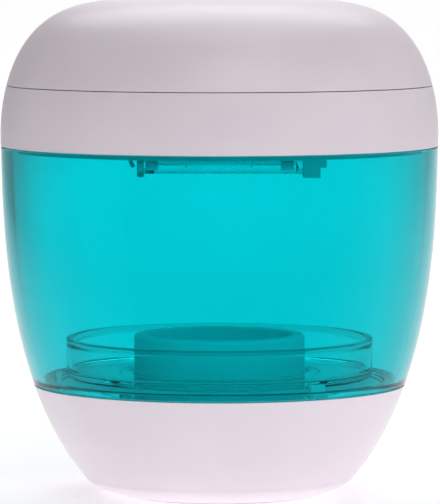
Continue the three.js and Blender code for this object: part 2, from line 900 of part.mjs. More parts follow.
// Moulded holder of the lamp's wired end.
function lampSocket() {
  const step = socketRight - socketNotch;
  const low = lampHeight - lampRadius - fit - socketChin;
  const bore = lampRadius + fit;
  return box(socketLeft, socketRight, -socketHalfWidth, socketHalfWidth, low, hungHigh)
    .subtract(rodAlongX(bore, socketLeft - overrun, socketLeft + socketBore, 0, lampHeight, tinyFacets))
    .subtract(box(step, socketRight + overrun, -socketHalfWidth - overrun, socketHalfWidth + overrun,
      low - overrun, lampHeight));
}

// Lead from the lamp's capped end, up through the tray to the board.
function lampLeadLeft() {
  const start = -lampLeftReach - capWall - 2 * fit - lampLeadRadius;
  const middle = (lampHeight + boardLow) / 2;
  return wire(
    [
      [start, 0, lampHeight],
      [leadLeftX, 0, lampHeight + lampRadius],
      [leadLeftX, 0, middle],
      [leadLeftX, 0, boardLow - fit],
    ],
    lampLeadRadius,
  );
}

// Short lead from the socket's top to the board.
function lampLeadRight() {
  return rod(lampLeadRadius, hungHigh + fit, boardLow - fit, leadRightX, 0, wireFacets);
}

// Round circuit board with a tab to the charging port.
function mainBoard() {
  let body = rod(boardRadius, boardLow, boardHigh, 0, 0, roundFacets)
    .add(box(-boardTabHalf, boardTabHalf, 0, usbFront - boardTabSetback, boardLow, boardHigh));
  for (const x of [-boardScrewX, boardScrewX]) {
    body = body.subtract(rod(postHole, boardLow - overrun, boardHigh + overrun, x, boardScrewY, tinyFacets));
  }
  return body;
}

// Flat pouch cell with softened long edges.
function batteryCell() {
  const high = partsLow + cellHeight;
  const front = boardRadius * cellShares.front;
  const back = boardRadius * cellShares.back;
  const half = boardRadius * cellShares.halfLength;
  return slab(
    [
      [front + cellEdge, partsLow],
      [back - cellEdge, partsLow],
      [back, partsLow + cellEdge],
      [back, high - cellEdge],
      [back - cellEdge, high],
      [front + cellEdge, high],
      [front, high - cellEdge],
      [front, partsLow + cellEdge],
    ],
    -half,
    half,
  );
}

// One of the cell's two leads, bent down to the board beside it.
function batteryLead(y) {
  const start = boardRadius * cellShares.halfLength + fit;
  const rise = partsLow + cellHeight / 2;
  const end = start + 4 * cellEdge;
  return wire(
    [
      [start, y, rise],
      [start + 2 * cellEdge, y, rise],
      [end, y, rise - cellHeight / 4],
      [end, y, partsLow],
    ],
    cellLeadRadius,
  );
}

// Step-up transformer for the lamp: ferrite cheeks joined by a narrower winding.
function boostTransformer() {
  const left = boardRadius * (coilShares.x - coilShares.length / 2);
  const right = boardRadius * (coilShares.x + coilShares.length / 2);
  const front = boardRadius * (coilShares.y - coilShares.width / 2);
  const back = boardRadius * (coilShares.y + coilShares.width / 2);
  const high = partsLow + room * coilShares.height;
  return box(left, right, front + coilWaist, back - coilWaist, partsLow + coilWaist, high - coilWaist)
    .add(box(left, left + coilCheek, front, back, partsLow, high))
    .add(box(right - coilCheek, right, front, back, partsLow, high));
}

// Controller with a row of legs on both long sides.
function controllerChip() {
  const low = partsLow + chipLegHeight / 2;
  const [chipX, chipY] = [boardRadius * chipShares.x, boardRadius * chipShares.y];
  let body = box(chipX - chipLength / 2, chipX + chipLength / 2, chipY - chipWidth / 2,
    chipY + chipWidth / 2, low, low + chipHeight);
  const reach = chipWidth / 2 + chipLegReach;
  for (let i = 0; i < chipLegCount; i += 1) {
    const x = chipX + (i - (chipLegCount - 1) / 2) * chipLegPitch;
    const half = chipLegWidth / 2;
    const legHigh = partsLow + chipLegHeight;
    body = body.add(box(x - half, x + half, chipY - reach, chipY + reach, partsLow, legHigh));
  }
  return body;
}

// Metal shell of the charging socket, open to the back, with its contact tongue.
function usbSocket() {
  const high = partsLow + usbHeight;
  const rear = usbFront - usbDepth;
  const half = usbHalfWidth - usbShell;
  return box(-usbHalfWidth, usbHalfWidth, rear, usbFront, partsLow, high)
    .subtract(box(-half, half, rear + usbShell, usbFront + overrun, partsLow + usbShell, high - usbShell))
    .add(box(-usbTongueHalf, usbTongueHalf, rear + usbShell / 2, usbFront - usbTongueSetback,
      portMiddle, portMiddle + usbTongueHeight));
}

// Small board under the crown that carries the switch and the light.
function buttonBoard() {
  const half = smallBoardHalf;
  let body = box(-half, half, smallBoardFront, smallBoardBack, smallBoardLow, smallBoardHigh);
  for (const x of [-smallPostX, smallPostX]) {
    const hole = rod(postHole, smallBoardLow - overrun, smallBoardHigh + overrun, x, smallPostY, tinyFacets);
    body = body.subtract(hole);
  }
  return body;
}

function tactSwitch() {
  const high = smallPartsLow + switchHeight;
  const well = plungerRadius + fit;
  return box(-switchHalf, switchHalf, -switchHalf, switchHalf, smallPartsLow, high)
    .subtract(rod(well, smallPartsLow + switchWell, high + overrun, 0, 0, tinyFacets));
}

function switchPlunger() {
  return rod(plungerRadius, plungerTop - plungerHeight, plungerTop, 0, 0, tinyFacets);
}

function statusLed() {
  const [front, back] = [lightY - ledHalfY, lightY + ledHalfY];
  return box(-ledHalfX, ledHalfX, front, back, smallPartsLow, smallPartsLow + ledHeight);
}

// Light guide from the diode to the crown, with a flange under the skin.
function lightPipe() {
  const flange = rod(lightRadius + lightFlange, ceilingEdge - fit - lightFlangeHeight, ceilingEdge - fit,
    0, lightY, tinyFacets);
  const top = crownTop(lightY - lightRadius);
  return rod(lightRadius, ceilingEdge - lightDrop, top, 0, lightY, tinyFacets).add(flange);
}

// Flat cable in an S between the two boards.
function buttonCable() {
  const low = partsLow;
  const high = smallBoardLow - fit;
  const near = [];
  const far = [];
  for (let i = 0; i <= ribbonSteps; i += 1) {
    const share = i / ribbonSteps;
    const turn = 0.5 - 0.5 * Math.cos(Math.PI * share);
    const y = boardRadius * (ribbonShares.low + (ribbonShares.high - ribbonShares.low) * turn);
    const z = low + (high - low) * share;
    near.push([y, z]);
    far.unshift([y + ribbonThickness, z]);
  }
  return slab([...near, ...far], -ribbonHalf, ribbonHalf);
}

// Round button with a dished top, a flange that keeps it in and a stem to the switch.
function powerButton() {
  const flangeHigh = ceilingEdge + crownRise - fit;
  const flangeLow = flangeHigh - buttonFlangeHeight;
  const top = crownTop(buttonRadius);
  return turned(
    [
      [0, buttonStemLow],
      [buttonStemRadius, buttonStemLow],
      [buttonStemRadius, flangeLow],
      [buttonRadius + buttonFlange, flangeLow],
      [buttonRadius + buttonFlange, flangeHigh],
      [buttonRadius, flangeHigh],
      [buttonRadius, top - buttonEdge],
      [buttonRadius - buttonEdge, top],
      [buttonRadius / 2, top - buttonDish * 0.75],
      [0, top - buttonDish],
    ],
    roundFacets,
  );
}

function deckScrew([x, y]) {
  return screw(x, y, screwHead, lowHeadHeight, screwRadius, padRoof, deckScrewTop);
}

function cradleScrew() {
  const low = deckLow - fit - screwHeadHeight;
  return screw(0, 0, screwHead, screwHeadHeight, screwRadius, low, restTop - restCover - fit);
}

function trayScrew([x, y]) {
  return screw(x, y, screwHead, screwHeadHeight, screwRadius, hungHigh - screwHeadHeight, lidScrewTop);
}

function boardScrew(x) {
  const high = partsLow + smallScrewHeadHeight;
  return screwFromAbove(x, boardScrewY, smallScrewHead, smallScrewHeadHeight, smallScrewRadius,
    postHoleFloor + fit, high);
}

function smallBoardScrew(x) {
  const low = smallBoardLow - fit - smallScrewHeadHeight;
  const high = smallPilotTop - fit;
  return screw(x, smallPostY, smallScrewHead, smallScrewHeadHeight, smallScrewRadius, low, high);
}

// The pieces, from the foot upwards
const deckScrewPlaces = around(deckScrewCount, deckScrewCircle, quarterTurn);
const lidScrewPlaces = around(lidScrewCount, lidScrewCircle, quarterTurn / 3);
const cellBack = boardRadius * cellShares.back;

const pieces = [
  ["foot_pad", footPad(), finish.silicone],
  ["base_shell", baseShell(), finish.shell],
  ["ballast_plate", ballastPlate(), finish.steel],
  ["deck", deck(), finish.inner],
  ["base_seal", baseSeal(), finish.seal],
  ["chamber", chamber(), finish.window],
  ...deckScrewPlaces.map((place, i) => [`deck_screw_${i + 1}`, deckScrew(place), finish.steel]),
  ["cradle", cradle(), finish.inner],
  ["cradle_screw", cradleScrew(), finish.steel],
  ["holder_dish", holderDish(), finish.clear],
  ["hinge_pin", hingePin(), finish.steel],
  ["lid_ring", lidRing(), finish.shell],
  ["lid_dome", lidDome(), finish.shell],
  ["lamp_tray", lampTray(), finish.inner],
  ["lid_seal", lidSeal(), finish.seal],
  ["reflector", reflector(), finish.mirror],
  ["uv_lamp", uvLamp(), finish.quartz],
  ["lamp_cap", lampCap(), finish.steel],
  ["lamp_socket", lampSocket(), finish.inner],
  ["lamp_clip_left", lampClip(-clipX), finish.steel],
  ["lamp_clip_right", lampClip(clipX), finish.steel],
  ["lamp_lead_left", lampLeadLeft(), finish.silicone],
  ["lamp_lead_right", lampLeadRight(), finish.silicone],
  ...lidScrewPlaces.map((place, i) => [`tray_screw_${i + 1}`, trayScrew(place), finish.steel]),
  ["main_board", mainBoard(), finish.board],
  ["board_screw_left", boardScrew(-boardScrewX), finish.steel],
  ["board_screw_right", boardScrew(boardScrewX), finish.steel],
  ["battery_cell", batteryCell(), finish.cell],
  ["battery_lead_red", batteryLead(cellBack - 3 * cellEdge), finish.red],
  ["battery_lead_black", batteryLead(cellBack - 6 * cellEdge), finish.dark],
  ["boost_transformer", boostTransformer(), finish.ferrite],
  ["controller_chip", controllerChip(), finish.dark],
  ["usb_socket", usbSocket(), finish.steel],
  ["usb_flap", usbFlap(), finish.silicone],
  ["button_board", buttonBoard(), finish.board],
  ["button_board_screw_left", smallBoardScrew(-smallPostX), finish.steel],
  ["button_board_screw_right", smallBoardScrew(smallPostX), finish.steel],
  ["tact_switch", tactSwitch(), finish.dark],
  ["switch_plunger", switchPlunger(), finish.dark],
  ["status_led", statusLed(), finish.clear],
  ["light_pipe", lightPipe(), finish.clear],
  ["button_cable", buttonCable(), finish.amber],
  ["power_button", powerButton(), finish.silicone],
];

const model = new THREE.Group();
model.name = "pacifier_sterilizer_case";
for (const [name, body, look] of pieces) {
  const { numProp, vertProperties, triVerts } = body.getMesh();
  const geometry = new THREE.BufferGeometry();
  geometry.setAttribute("position", new THREE.BufferAttribute(new Float32Array(vertProperties), numProp));
  geometry.setIndex(new THREE.BufferAttribute(new Uint32Array(triVerts), 1));
  geometry.computeVertexNormals();
  const mesh = new THREE.Mesh(geometry, new THREE.MeshStandardMaterial(look));
  mesh.name = name;
  model.add(mesh);
}

export default model;
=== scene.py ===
# %% [markdown]
# A pocket case that cleans a pacifier with ultraviolet light: a white bowl, a clear teal chamber and a
# hinged white lid that carries the lamp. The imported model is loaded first, because every piece made
# here takes its place and its size from it.

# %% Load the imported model
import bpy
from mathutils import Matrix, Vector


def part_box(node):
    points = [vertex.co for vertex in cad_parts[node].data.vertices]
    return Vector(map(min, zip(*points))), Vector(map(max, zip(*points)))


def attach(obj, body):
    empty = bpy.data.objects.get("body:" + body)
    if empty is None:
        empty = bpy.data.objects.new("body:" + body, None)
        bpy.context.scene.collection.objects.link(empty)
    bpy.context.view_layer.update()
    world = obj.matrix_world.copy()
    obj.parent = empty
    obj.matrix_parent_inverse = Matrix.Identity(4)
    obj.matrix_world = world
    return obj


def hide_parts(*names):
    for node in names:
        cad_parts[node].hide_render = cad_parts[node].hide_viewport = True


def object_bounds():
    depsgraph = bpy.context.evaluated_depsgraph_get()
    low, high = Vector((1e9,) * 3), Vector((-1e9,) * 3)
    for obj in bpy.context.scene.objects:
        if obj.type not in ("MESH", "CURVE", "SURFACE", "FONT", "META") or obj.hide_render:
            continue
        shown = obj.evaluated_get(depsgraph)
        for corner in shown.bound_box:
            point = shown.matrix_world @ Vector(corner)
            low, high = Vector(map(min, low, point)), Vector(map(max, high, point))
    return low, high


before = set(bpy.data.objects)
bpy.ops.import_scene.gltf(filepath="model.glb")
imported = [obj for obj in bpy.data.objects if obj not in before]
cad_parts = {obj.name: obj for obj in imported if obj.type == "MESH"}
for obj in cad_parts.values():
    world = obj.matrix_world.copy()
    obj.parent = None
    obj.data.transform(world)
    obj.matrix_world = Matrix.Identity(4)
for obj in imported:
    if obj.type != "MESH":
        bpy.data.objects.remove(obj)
cad_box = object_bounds()
print("box in mm:", [[round(side * 1000, 2) for side in corner] for corner in cad_box])

# %% [markdown]
# The rest of the tools: math gives arcs, bmesh edits meshes. A length is written in millimetres times `mm`,
# so that the numbers read like those on a drawing. `fit` is the gap between two pieces, the same as in the
# imported model.

# %% Units and places
import math
import bmesh
import bpy
from mathutils import Matrix, Vector

mm = 0.001
quarter_turn = math.pi / 2
fit = 0.3 * mm


def lowest(node):
    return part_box(node)[0]


def highest(node):
    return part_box(node)[1]


def span(node, axis):
    """Where a node starts and ends along an axis."""
    return [getattr(corner, axis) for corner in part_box(node)]


def halfway(node, axis):
    return sum(span(node, axis)) / 2


base_seam = highest("base_shell").z + fit / 2
lid_seam = halfway("hinge_pin", "z")
dome_seam = highest("lid_ring").z + fit / 2
print("seams in mm:", [round(z / mm, 2) for z in (base_seam, lid_seam, dome_seam)])

# %% [markdown]
# The outside of the case is one smooth shape through all four shells, with no straight line in it. Two
# power curves give it: one closes over the crown and one draws in under the bowl. Writing the shape as
# a rule keeps the shells flush at their seams, which points placed by hand would not.

# %% The outside shape
total_height = 87.1 * mm
widest_radius = cad_box[1].x
crown_rise = 0.5 * mm
crown_power, crown_fullness, crown_reach_share = 1.934, 5.156, 1.00215
bowl_power, bowl_fullness, bowl_reach_share = 2.7434, 2.1263, 1.12545
crown_start = 0.72782 * total_height
crown_reach = (total_height - crown_start) * crown_reach_share
bowl_start = 0.78439 * total_height
bowl_reach = bowl_start * bowl_reach_share
crown_edge = total_height - crown_rise


def outside(z):
    """Radius of the outside surface at a height."""
    over = max(0, z - crown_start) / crown_reach
    under = max(0, bowl_start - z) / bowl_reach
    crown = (1 - over**crown_power) ** (1 / crown_fullness)
    bowl = (1 - under**bowl_power) ** (1 / bowl_fullness)
    return widest_radius * crown * bowl


def side(start, end, steps, wall=0.0):
    """Section points of the side between two heights, set in by a wall."""
    heights = [start + (end - start) * i / steps for i in range(steps + 1)]
    return [(outside(z) - wall, z) for z in heights]


def crown_top(r):
    """Height of the crown's gently domed top at a radius."""
    return total_height - crown_rise * (r / outside(crown_edge)) ** 2


print("radius at the base seam:", round(outside(base_seam) / mm, 2), "mm")

# %% [markdown]
# Moulded edges are never knife sharp: the small round on each edge is what catches the light and makes
# plastic look like plastic. A section is a list of corners, and a corner with a third number is rounded
# over by that many millimetres, but by no more than `edge_share` of an edge, so that two rounds never
# meet. A short quadratic curve stands in for the arc, because nobody can tell at 0.3 mm.

# %% Rounded section corners
round_steps = 4
edge_share = 0.48


def softened(corners, closed):
    """Section points, with an arc at each corner that has a third number."""
    points = []
    for i, (r, z, *radius) in enumerate(corners):
        here = Vector((r, z))
        at_end = not closed and i in (0, len(corners) - 1)
        if not radius or at_end:
            points.append(here)
            continue
        to_last = Vector(corners[i - 1][:2]) - here
        to_next = Vector(corners[(i + 1) % len(corners)][:2]) - here
        reach = min(radius[0] * mm, edge_share * to_last.length, edge_share * to_next.length)
        start = here + to_last.normalized() * reach
        end = here + to_next.normalized() * reach
        for k in range(round_steps + 1):
            t = k / round_steps
            points.append(start * (1 - t) ** 2 + here * 2 * t * (1 - t) + end * t * t)
    return points


print("a rounded square has", len(softened([(0, 0, 1), (9, 0, 1), (9, 9, 1), (0, 9, 1)], True)), "points")

# %% [markdown]
# Almost every piece of the case is turned: a section swept round the middle axis. Geometry Nodes do it
# by rule. The object holds only its section points. The tree lays out a grid with a row for each point
# and a column for each flat, reads each row's point with Sample Index, and turns it about the axis.
# Merge by Distance then closes the seam and the poles. The number of flats stays an input, so large
# shells can be fine and small pins coarse.

# %% A Geometry Nodes tree that turns a section
merge_distance = 0.001 * mm


def new_tree(name, kind, inputs, outputs):
    """A node tree with named inputs and outputs, each given with its kind."""
    tree = bpy.data.node_groups.new(name, kind)
    for way, sockets in (("INPUT", inputs), ("OUTPUT", outputs)):
        for label, socket_kind in sockets.items():
            tree.interface.new_socket(label, in_out=way, socket_type="NodeSocket" + socket_kind)
    return tree


def fill(tree, node, values):
    """Fills a node's inputs, by name or number, from sockets or values."""
    for label, value in values.items():
        if isinstance(value, bpy.types.NodeSocket):
            tree.links.new(value, node.inputs[label])
        else:
            node.inputs[label].default_value = value
    return node


def add_node(tree, kind, settings=None, **inputs):
    """Adds a node, sets its properties, and fills its inputs. `i0` stands for input number 0."""
    node = tree.nodes.new(kind)
    for key, value in (settings or {}).items():
        setattr(node, key, value)
    labels = {key: int(key[1:]) if key[1:].isdigit() else key.replace("_", " ") for key in inputs}
    return fill(tree, node, {labels[key]: value for key, value in inputs.items()})


def calculate(tree, operation, *values):
    """The output of a Math node."""
    node = add_node(tree, "ShaderNodeMath", {"operation": operation})
    return fill(tree, node, dict(enumerate(values))).outputs[0]


def end_tree(tree, geometry, finish):
    """Smooth shading, Realize Instances and Set Material, as every tree here ends."""
    smooth = add_node(tree, "GeometryNodeSetShadeSmooth", Geometry=geometry)
    real = add_node(tree, "GeometryNodeRealizeInstances", Geometry=smooth.outputs[0])
    painted = add_node(tree, "GeometryNodeSetMaterial", Geometry=real.outputs[0], Material=finish)
    add_node(tree, "NodeGroupOutput", i0=painted.outputs[0])


def turning_tree():
    inputs = {"Geometry": "Geometry", "Flats": "Int", "Closed": "Int", "Material": "Material"}
    tree = new_tree("turned_piece", "GeometryNodeTree", inputs, {"Geometry": "Geometry"})
    given = tree.nodes.new("NodeGroupInput")
    flats, closed = given.outputs["Flats"], given.outputs["Closed"]
    count = add_node(tree, "GeometryNodeAttributeDomainSize", Geometry=given.outputs["Geometry"])
    points = count.outputs["Point Count"]
    rows = calculate(tree, "ADD", points, closed)
    columns = calculate(tree, "ADD", flats, 1)
    grid = add_node(tree, "GeometryNodeMeshGrid", Vertices_X=rows, Vertices_Y=columns)
    index = tree.nodes.new("GeometryNodeInputIndex").outputs[0]
    row = calculate(tree, "FLOOR", calculate(tree, "DIVIDE", calculate(tree, "ADD", index, 0.5), columns))
    column = calculate(tree, "SUBTRACT", index, calculate(tree, "MULTIPLY", row, columns))
    turn = calculate(tree, "DIVIDE", calculate(tree, "MULTIPLY", column, 2 * math.pi), flats)
    wrapped = calculate(tree, "MODULO", calculate(tree, "ADD", row, 0.25), points)
    place = tree.nodes.new("GeometryNodeInputPosition").outputs[0]
    picked = add_node(tree, "GeometryNodeSampleIndex", {"data_type": "FLOAT_VECTOR", "domain": "POINT"},
                      Geometry=given.outputs["Geometry"], Value=place,
                      Index=calculate(tree, "FLOOR", wrapped))
    turned_place = add_node(tree, "ShaderNodeVectorRotate", {"rotation_type": "Z_AXIS"},
                            Vector=picked.outputs[0], Angle=turn)
    swept = add_node(tree, "GeometryNodeSetPosition", Geometry=grid.outputs[0],
                     Position=turned_place.outputs[0])
    joined = add_node(tree, "GeometryNodeMergeByDistance", Geometry=swept.outputs[0], Distance=merge_distance)
    end_tree(tree, joined.outputs[0], given.outputs["Material"])
    return tree


turning = turning_tree()
print("nodes in the turning tree:", len(turning.nodes))

# %% [markdown]
# A modifier's inputs are set by the identifiers of the tree's sockets. The result is taken from the
# evaluated object as a plain mesh and the modifier is removed, so that nothing live is left behind.
# Cuts and unions use the exact Boolean, and each tool is deleted after its use. Edges that turn more
# than 30 degrees are marked sharp, so that flats stay flat and curves stay smooth.

# %% From modifiers to a plain mesh
sharp_angle = math.radians(30)


def in_scene(thing):
    bpy.context.scene.collection.objects.link(thing)
    return thing


def new_piece(name, vertices, faces=()):
    mesh = bpy.data.meshes.new(name)
    mesh.from_pydata(vertices, [], faces)
    return in_scene(bpy.data.objects.new(name, mesh))


def tidy_mesh(mesh, turn_out=True):
    """Merges doubles, points the faces outwards if asked, and marks the sharp edges."""
    work = bmesh.new()
    work.from_mesh(mesh)
    bmesh.ops.remove_doubles(work, verts=work.verts, dist=merge_distance)
    bmesh.ops.dissolve_degenerate(work, edges=work.edges, dist=merge_distance / 10)
    if turn_out:
        bmesh.ops.recalc_face_normals(work, faces=work.faces)
        if work.calc_volume(signed=True) < 0:
            bmesh.ops.reverse_faces(work, faces=work.faces)
    for face in work.faces:
        face.smooth = True
    work.to_mesh(mesh)
    work.free()
    mesh.set_sharp_from_angle(angle=sharp_angle)


def plain(piece, turn_out=True):
    """Replaces a piece's mesh by what its modifiers make, and removes them."""
    seen = bpy.context.evaluated_depsgraph_get()
    mesh = bpy.data.meshes.new_from_object(piece.evaluated_get(seen), depsgraph=seen)
    piece.modifiers.clear()
    piece.data = mesh
    mesh.name = piece.name
    tidy_mesh(mesh, turn_out)
    return piece


def through(piece, tree, **values):
    """Runs a piece through a Geometry Nodes tree, with the tree's inputs set by name."""
    modifier = piece.modifiers.new("Tree", "NODES")
    modifier.node_group = tree
    for socket in tree.interface.items_tree:
        if socket.in_out == "INPUT" and socket.name in values:
            modifier[socket.identifier] = values[socket.name]
    return plain(piece)


def from_work(name, work):
    """A piece from an edit mesh, which is freed."""
    piece = new_piece(name, [])
    work.to_mesh(piece.data)
    work.free()
    tidy_mesh(piece.data)
    return piece


def combined(piece, operation, tools):
    """Cuts tools from a piece or adds them to it, and deletes them."""
    for tool in tools:
        modifier = piece.modifiers.new("Combine", "BOOLEAN")
        modifier.operation = operation
        modifier.solver = "EXACT"
        modifier.object = tool
    plain(piece, turn_out=False)
    for tool in tools:
        bpy.data.objects.remove(tool)
    return piece


def cut(piece, *tools):
    return combined(piece, "DIFFERENCE", tools)


def fuse(piece, *parts):
    return combined(piece, "UNION", parts)


print("sharp edges turn more than", round(math.degrees(sharp_angle)), "degrees")

# %% [markdown]
# A few shapes that serve everywhere: a turned solid or ring, a rod, a block with small bevels, and a
# slab pushed along X for the hinge. Edges are rounded over by millimetres too. Rods lie along X by
# turning their mesh, never their object, because a finished piece's object stays at the origin. A shape
# that cuts goes `past` its piece by a millimetre, because two faces in one plane confuse a Boolean.
# Drills for the deck have an odd number of flats, so that no corner of theirs meets one of the deck's.

# %% Solids
large_flats, round_flats, small_flats, drill_flats = 160, 96, 32, 27
past = 1 * mm


def turned(name, corners, flats=large_flats, closed=False):
    """Solid of revolution from section corners, listed up the outside."""
    points = softened(corners, closed)
    piece = new_piece(name, [(r, 0, z) for r, z in points])
    return through(piece, turning, Flats=flats, Closed=int(closed))


def turned_ring(name, corners, flats=large_flats):
    return turned(name, corners, flats, closed=True)


def moved(piece, matrix):
    """Applies a placement to the mesh, so that the object stays at the origin."""
    piece.data.transform(matrix)
    return piece


def stepped_rod(corners, x=0.0, y=0.0, flats=small_flats):
    """Rod from the corners of its side, standing at a place."""
    closed = [(0, corners[0][1]), *corners, (0, corners[-1][1])]
    return moved(turned("rod", closed, flats), Matrix.Translation((x, y, 0)))


def rod(radius, low, high, x=0.0, y=0.0, edge=0.0, flats=small_flats):
    return stepped_rod([(radius, low, edge), (radius, high, edge)], x, y, flats)


def rods(places, radius, low, high, edge=0.0, flats=small_flats):
    """The same rod at each of some places."""
    return [rod(radius, low, high, x, y, edge, flats) for x, y in places]


def along_x(piece, y, z):
    """Lays a piece that stands on the axis down along X."""
    return moved(piece, Matrix.Translation((0, y, z)) @ Matrix.Rotation(quarter_turn, 4, "Y"))


def block(left, right, front, back, low, high, edge=0.0, steps=3):
    """Box with rounded edges."""
    work = bmesh.new()
    bmesh.ops.create_cube(work, size=1)
    size = Vector((right - left, back - front, high - low))
    middle = Vector((right + left, back + front, high + low)) / 2
    bmesh.ops.transform(work, matrix=Matrix.Translation(middle) @ Matrix.Diagonal(size.to_4d()),
                        verts=work.verts)
    if edge:
        bmesh.ops.bevel(work, geom=work.edges, offset=edge * mm, segments=steps, profile=0.5, affect="EDGES")
    return from_work("block", work)


def slab(outline, left, right, edge=0.0):
    """A [y, z] outline pushed along X, with a small bevel round both faces."""
    work = bmesh.new()
    corners = [work.verts.new((left, y, z)) for y, z in outline]
    face = work.faces.new(corners)
    pushed = bmesh.ops.extrude_face_region(work, geom=[face])["geom"]
    bmesh.ops.translate(work, vec=(right - left, 0, 0),
                        verts=[item for item in pushed if isinstance(item, bmesh.types.BMVert)])
    if edge:
        flat = [e for e in work.edges if abs(e.verts[0].co.x - e.verts[1].co.x) < merge_distance]
        bmesh.ops.bevel(work, geom=flat, offset=edge * mm, segments=2, profile=0.5, affect="EDGES")
    return from_work("slab", work)


def around(count, radius, start):
    """Places spread evenly on a circle about the axis."""
    angles = [start + i * 2 * math.pi / count for i in range(count)]
    return [(radius * math.cos(a), radius * math.sin(a)) for a in angles]


def arc(y, z, radius, start, end, steps):
    """Points of an arc in a [y, z] outline."""
    angles = [start + (end - start) * i / steps for i in range(steps + 1)]
    return [(y + radius * math.cos(a), z + radius * math.sin(a)) for a in angles]


print("flats of a shell, a drum and a pin:", large_flats, round_flats, small_flats)

# %% [markdown]
# Moulded plastic, silicone and printed boards all have a skin: a fine grain from the tool's surface, a
# slow drift of gloss where the melt flowed, and a slight drift of colour. One shader node group makes
# that skin for every such material, each with its own values. It puts out a colour, a roughness and a
# height. The height goes to a Bump node in the material, and the shader itself stays there too.

# %% A node group for moulded skins
def noise(tree, vector, scale, detail, roughness):
    return add_node(tree, "ShaderNodeTexNoise", Vector=vector, Scale=scale, Detail=detail,
                    Roughness=roughness).outputs["Fac"]


def mix_colours(tree, factor, first, second, blend="MIX"):
    settings = {"data_type": "RGBA", "blend_type": blend}
    return add_node(tree, "ShaderNodeMix", settings, i0=factor, i6=first, i7=second).outputs[2]


def remap(tree, value, low, high, new_low, new_high):
    return add_node(tree, "ShaderNodeMapRange", Value=value, From_Min=low, From_Max=high, To_Min=new_low,
                    To_Max=new_high).outputs["Result"]


handled_fineness, handled_share, flow_band = 5.0, 0.6, (0.35, 0.65)


def moulded_skin_group():
    inputs = {"Vector": "Vector", "Colour": "Color", "Deep Colour": "Color", "Roughness": "Float",
              "Gloss Drift": "Float", "Grain Size": "Float", "Flow Size": "Float"}
    outputs = {"Colour": "Color", "Roughness": "Float", "Height": "Float"}
    group = new_tree("moulded_skin", "ShaderNodeTree", inputs, outputs)
    given = group.nodes.new("NodeGroupInput").outputs
    grain_scale = calculate(group, "DIVIDE", 1.0, given["Grain Size"])
    flow_scale = calculate(group, "DIVIDE", 1.0, given["Flow Size"])
    grain = noise(group, given["Vector"], grain_scale, 3.0, 0.6)
    flow = noise(group, given["Vector"], flow_scale, 3.0, 0.55)
    handled_scale = calculate(group, "MULTIPLY", flow_scale, handled_fineness)
    handled = noise(group, given["Vector"], handled_scale, 4.0, 0.65)
    colour = mix_colours(group, remap(group, flow, *flow_band, 0.0, 1.0), given["Colour"],
                         given["Deep Colour"])
    drift = calculate(group, "ADD", calculate(group, "MULTIPLY", handled, handled_share),
                      calculate(group, "MULTIPLY", flow, 1 - handled_share))
    half = calculate(group, "MULTIPLY", given["Gloss Drift"], 2.0)
    offset = calculate(group, "MULTIPLY", calculate(group, "SUBTRACT", drift, 0.5), half)
    rough = calculate(group, "ADD", given["Roughness"], offset)
    add_node(group, "NodeGroupOutput", Colour=colour, Roughness=rough, Height=grain)
    return group


moulded_skin = moulded_skin_group()
skin_sockets = moulded_skin.interface.items_tree
print("inputs of the skin:", [item.name for item in skin_sockets if item.in_out == "INPUT"])

# %% [markdown]
# Metal pieces show how they were made: spun and turned ones have fine rings about their axis, drawn
# wire and rods have lines along it. A second group makes those marks from the distance to the axis, or
# from the place across the lines, with a little noise so that no two lines are alike.

# %% A node group for tool marks in metal
fine_share, smear_scale = 0.8, 160.0


def tool_marks_group():
    inputs = {"Across": "Float", "Vector": "Vector", "Line Width": "Float", "Roughness": "Float",
              "Drift": "Float"}
    outputs = {"Roughness": "Float", "Height": "Float", "Shade": "Float"}
    group = new_tree("tool_marks", "ShaderNodeTree", inputs, outputs)
    given = group.nodes.new("NodeGroupInput").outputs
    lines = calculate(group, "DIVIDE", given["Across"], given["Line Width"])
    line_place = add_node(group, "ShaderNodeCombineXYZ", X=lines)
    fine = noise(group, line_place.outputs[0], 1.0, 4.0, 0.7)
    smear = noise(group, given["Vector"], smear_scale, 3.0, 0.5)
    height = calculate(group, "ADD", calculate(group, "MULTIPLY", fine, fine_share),
                       calculate(group, "MULTIPLY", smear, 1 - fine_share))
    spread = calculate(group, "MULTIPLY", calculate(group, "SUBTRACT", height, 0.5), given["Drift"])
    rough = calculate(group, "ADD", given["Roughness"], spread)
    shade = remap(group, fine, 0.3, 0.7, 0.9, 1.0)
    add_node(group, "NodeGroupOutput", Roughness=rough, Height=height, Shade=shade)
    return group


tool_marks = tool_marks_group()
mark_sockets = tool_marks.interface.items_tree
print("outputs of the marks:", [item.name for item in mark_sockets if item.in_out == "OUTPUT"])

# %% [markdown]
# Each material has its Principled shader, its bump and its own values. Colours are given as they look
# on a screen and turned into the linear numbers that the shader works in. A value that is the same all
# over, such as a refractive index, is set on the shader itself.

# %% Materials from skins
def linear(red, green, blue):
    """Linear colour from a screen colour in 0 to 255."""
    def one(value):
        share = value / 255
        return share / 12.92 if share <= 0.04045 else ((share + 0.055) / 1.055) ** 2.4
    return (one(red), one(green), one(blue), 1)


white = (1, 1, 1, 1)


def new_material(name):
    material = bpy.data.materials.new(name)
    material.use_nodes = True
    tree = material.node_tree
    shader = tree.nodes["Principled BSDF"]
    place = tree.nodes.new("ShaderNodeTexCoord").outputs["Object"]
    return material, tree, shader, place


def use_group(tree, group, **inputs):
    return add_node(tree, "ShaderNodeGroup", {"node_tree": group}, **inputs).outputs


def bump(tree, shader, height, depth):
    """Bumps of a depth in millimetres."""
    node = add_node(tree, "ShaderNodeBump", Height=height, Distance=depth * mm, Strength=1.0)
    tree.links.new(node.outputs["Normal"], shader.inputs["Normal"])


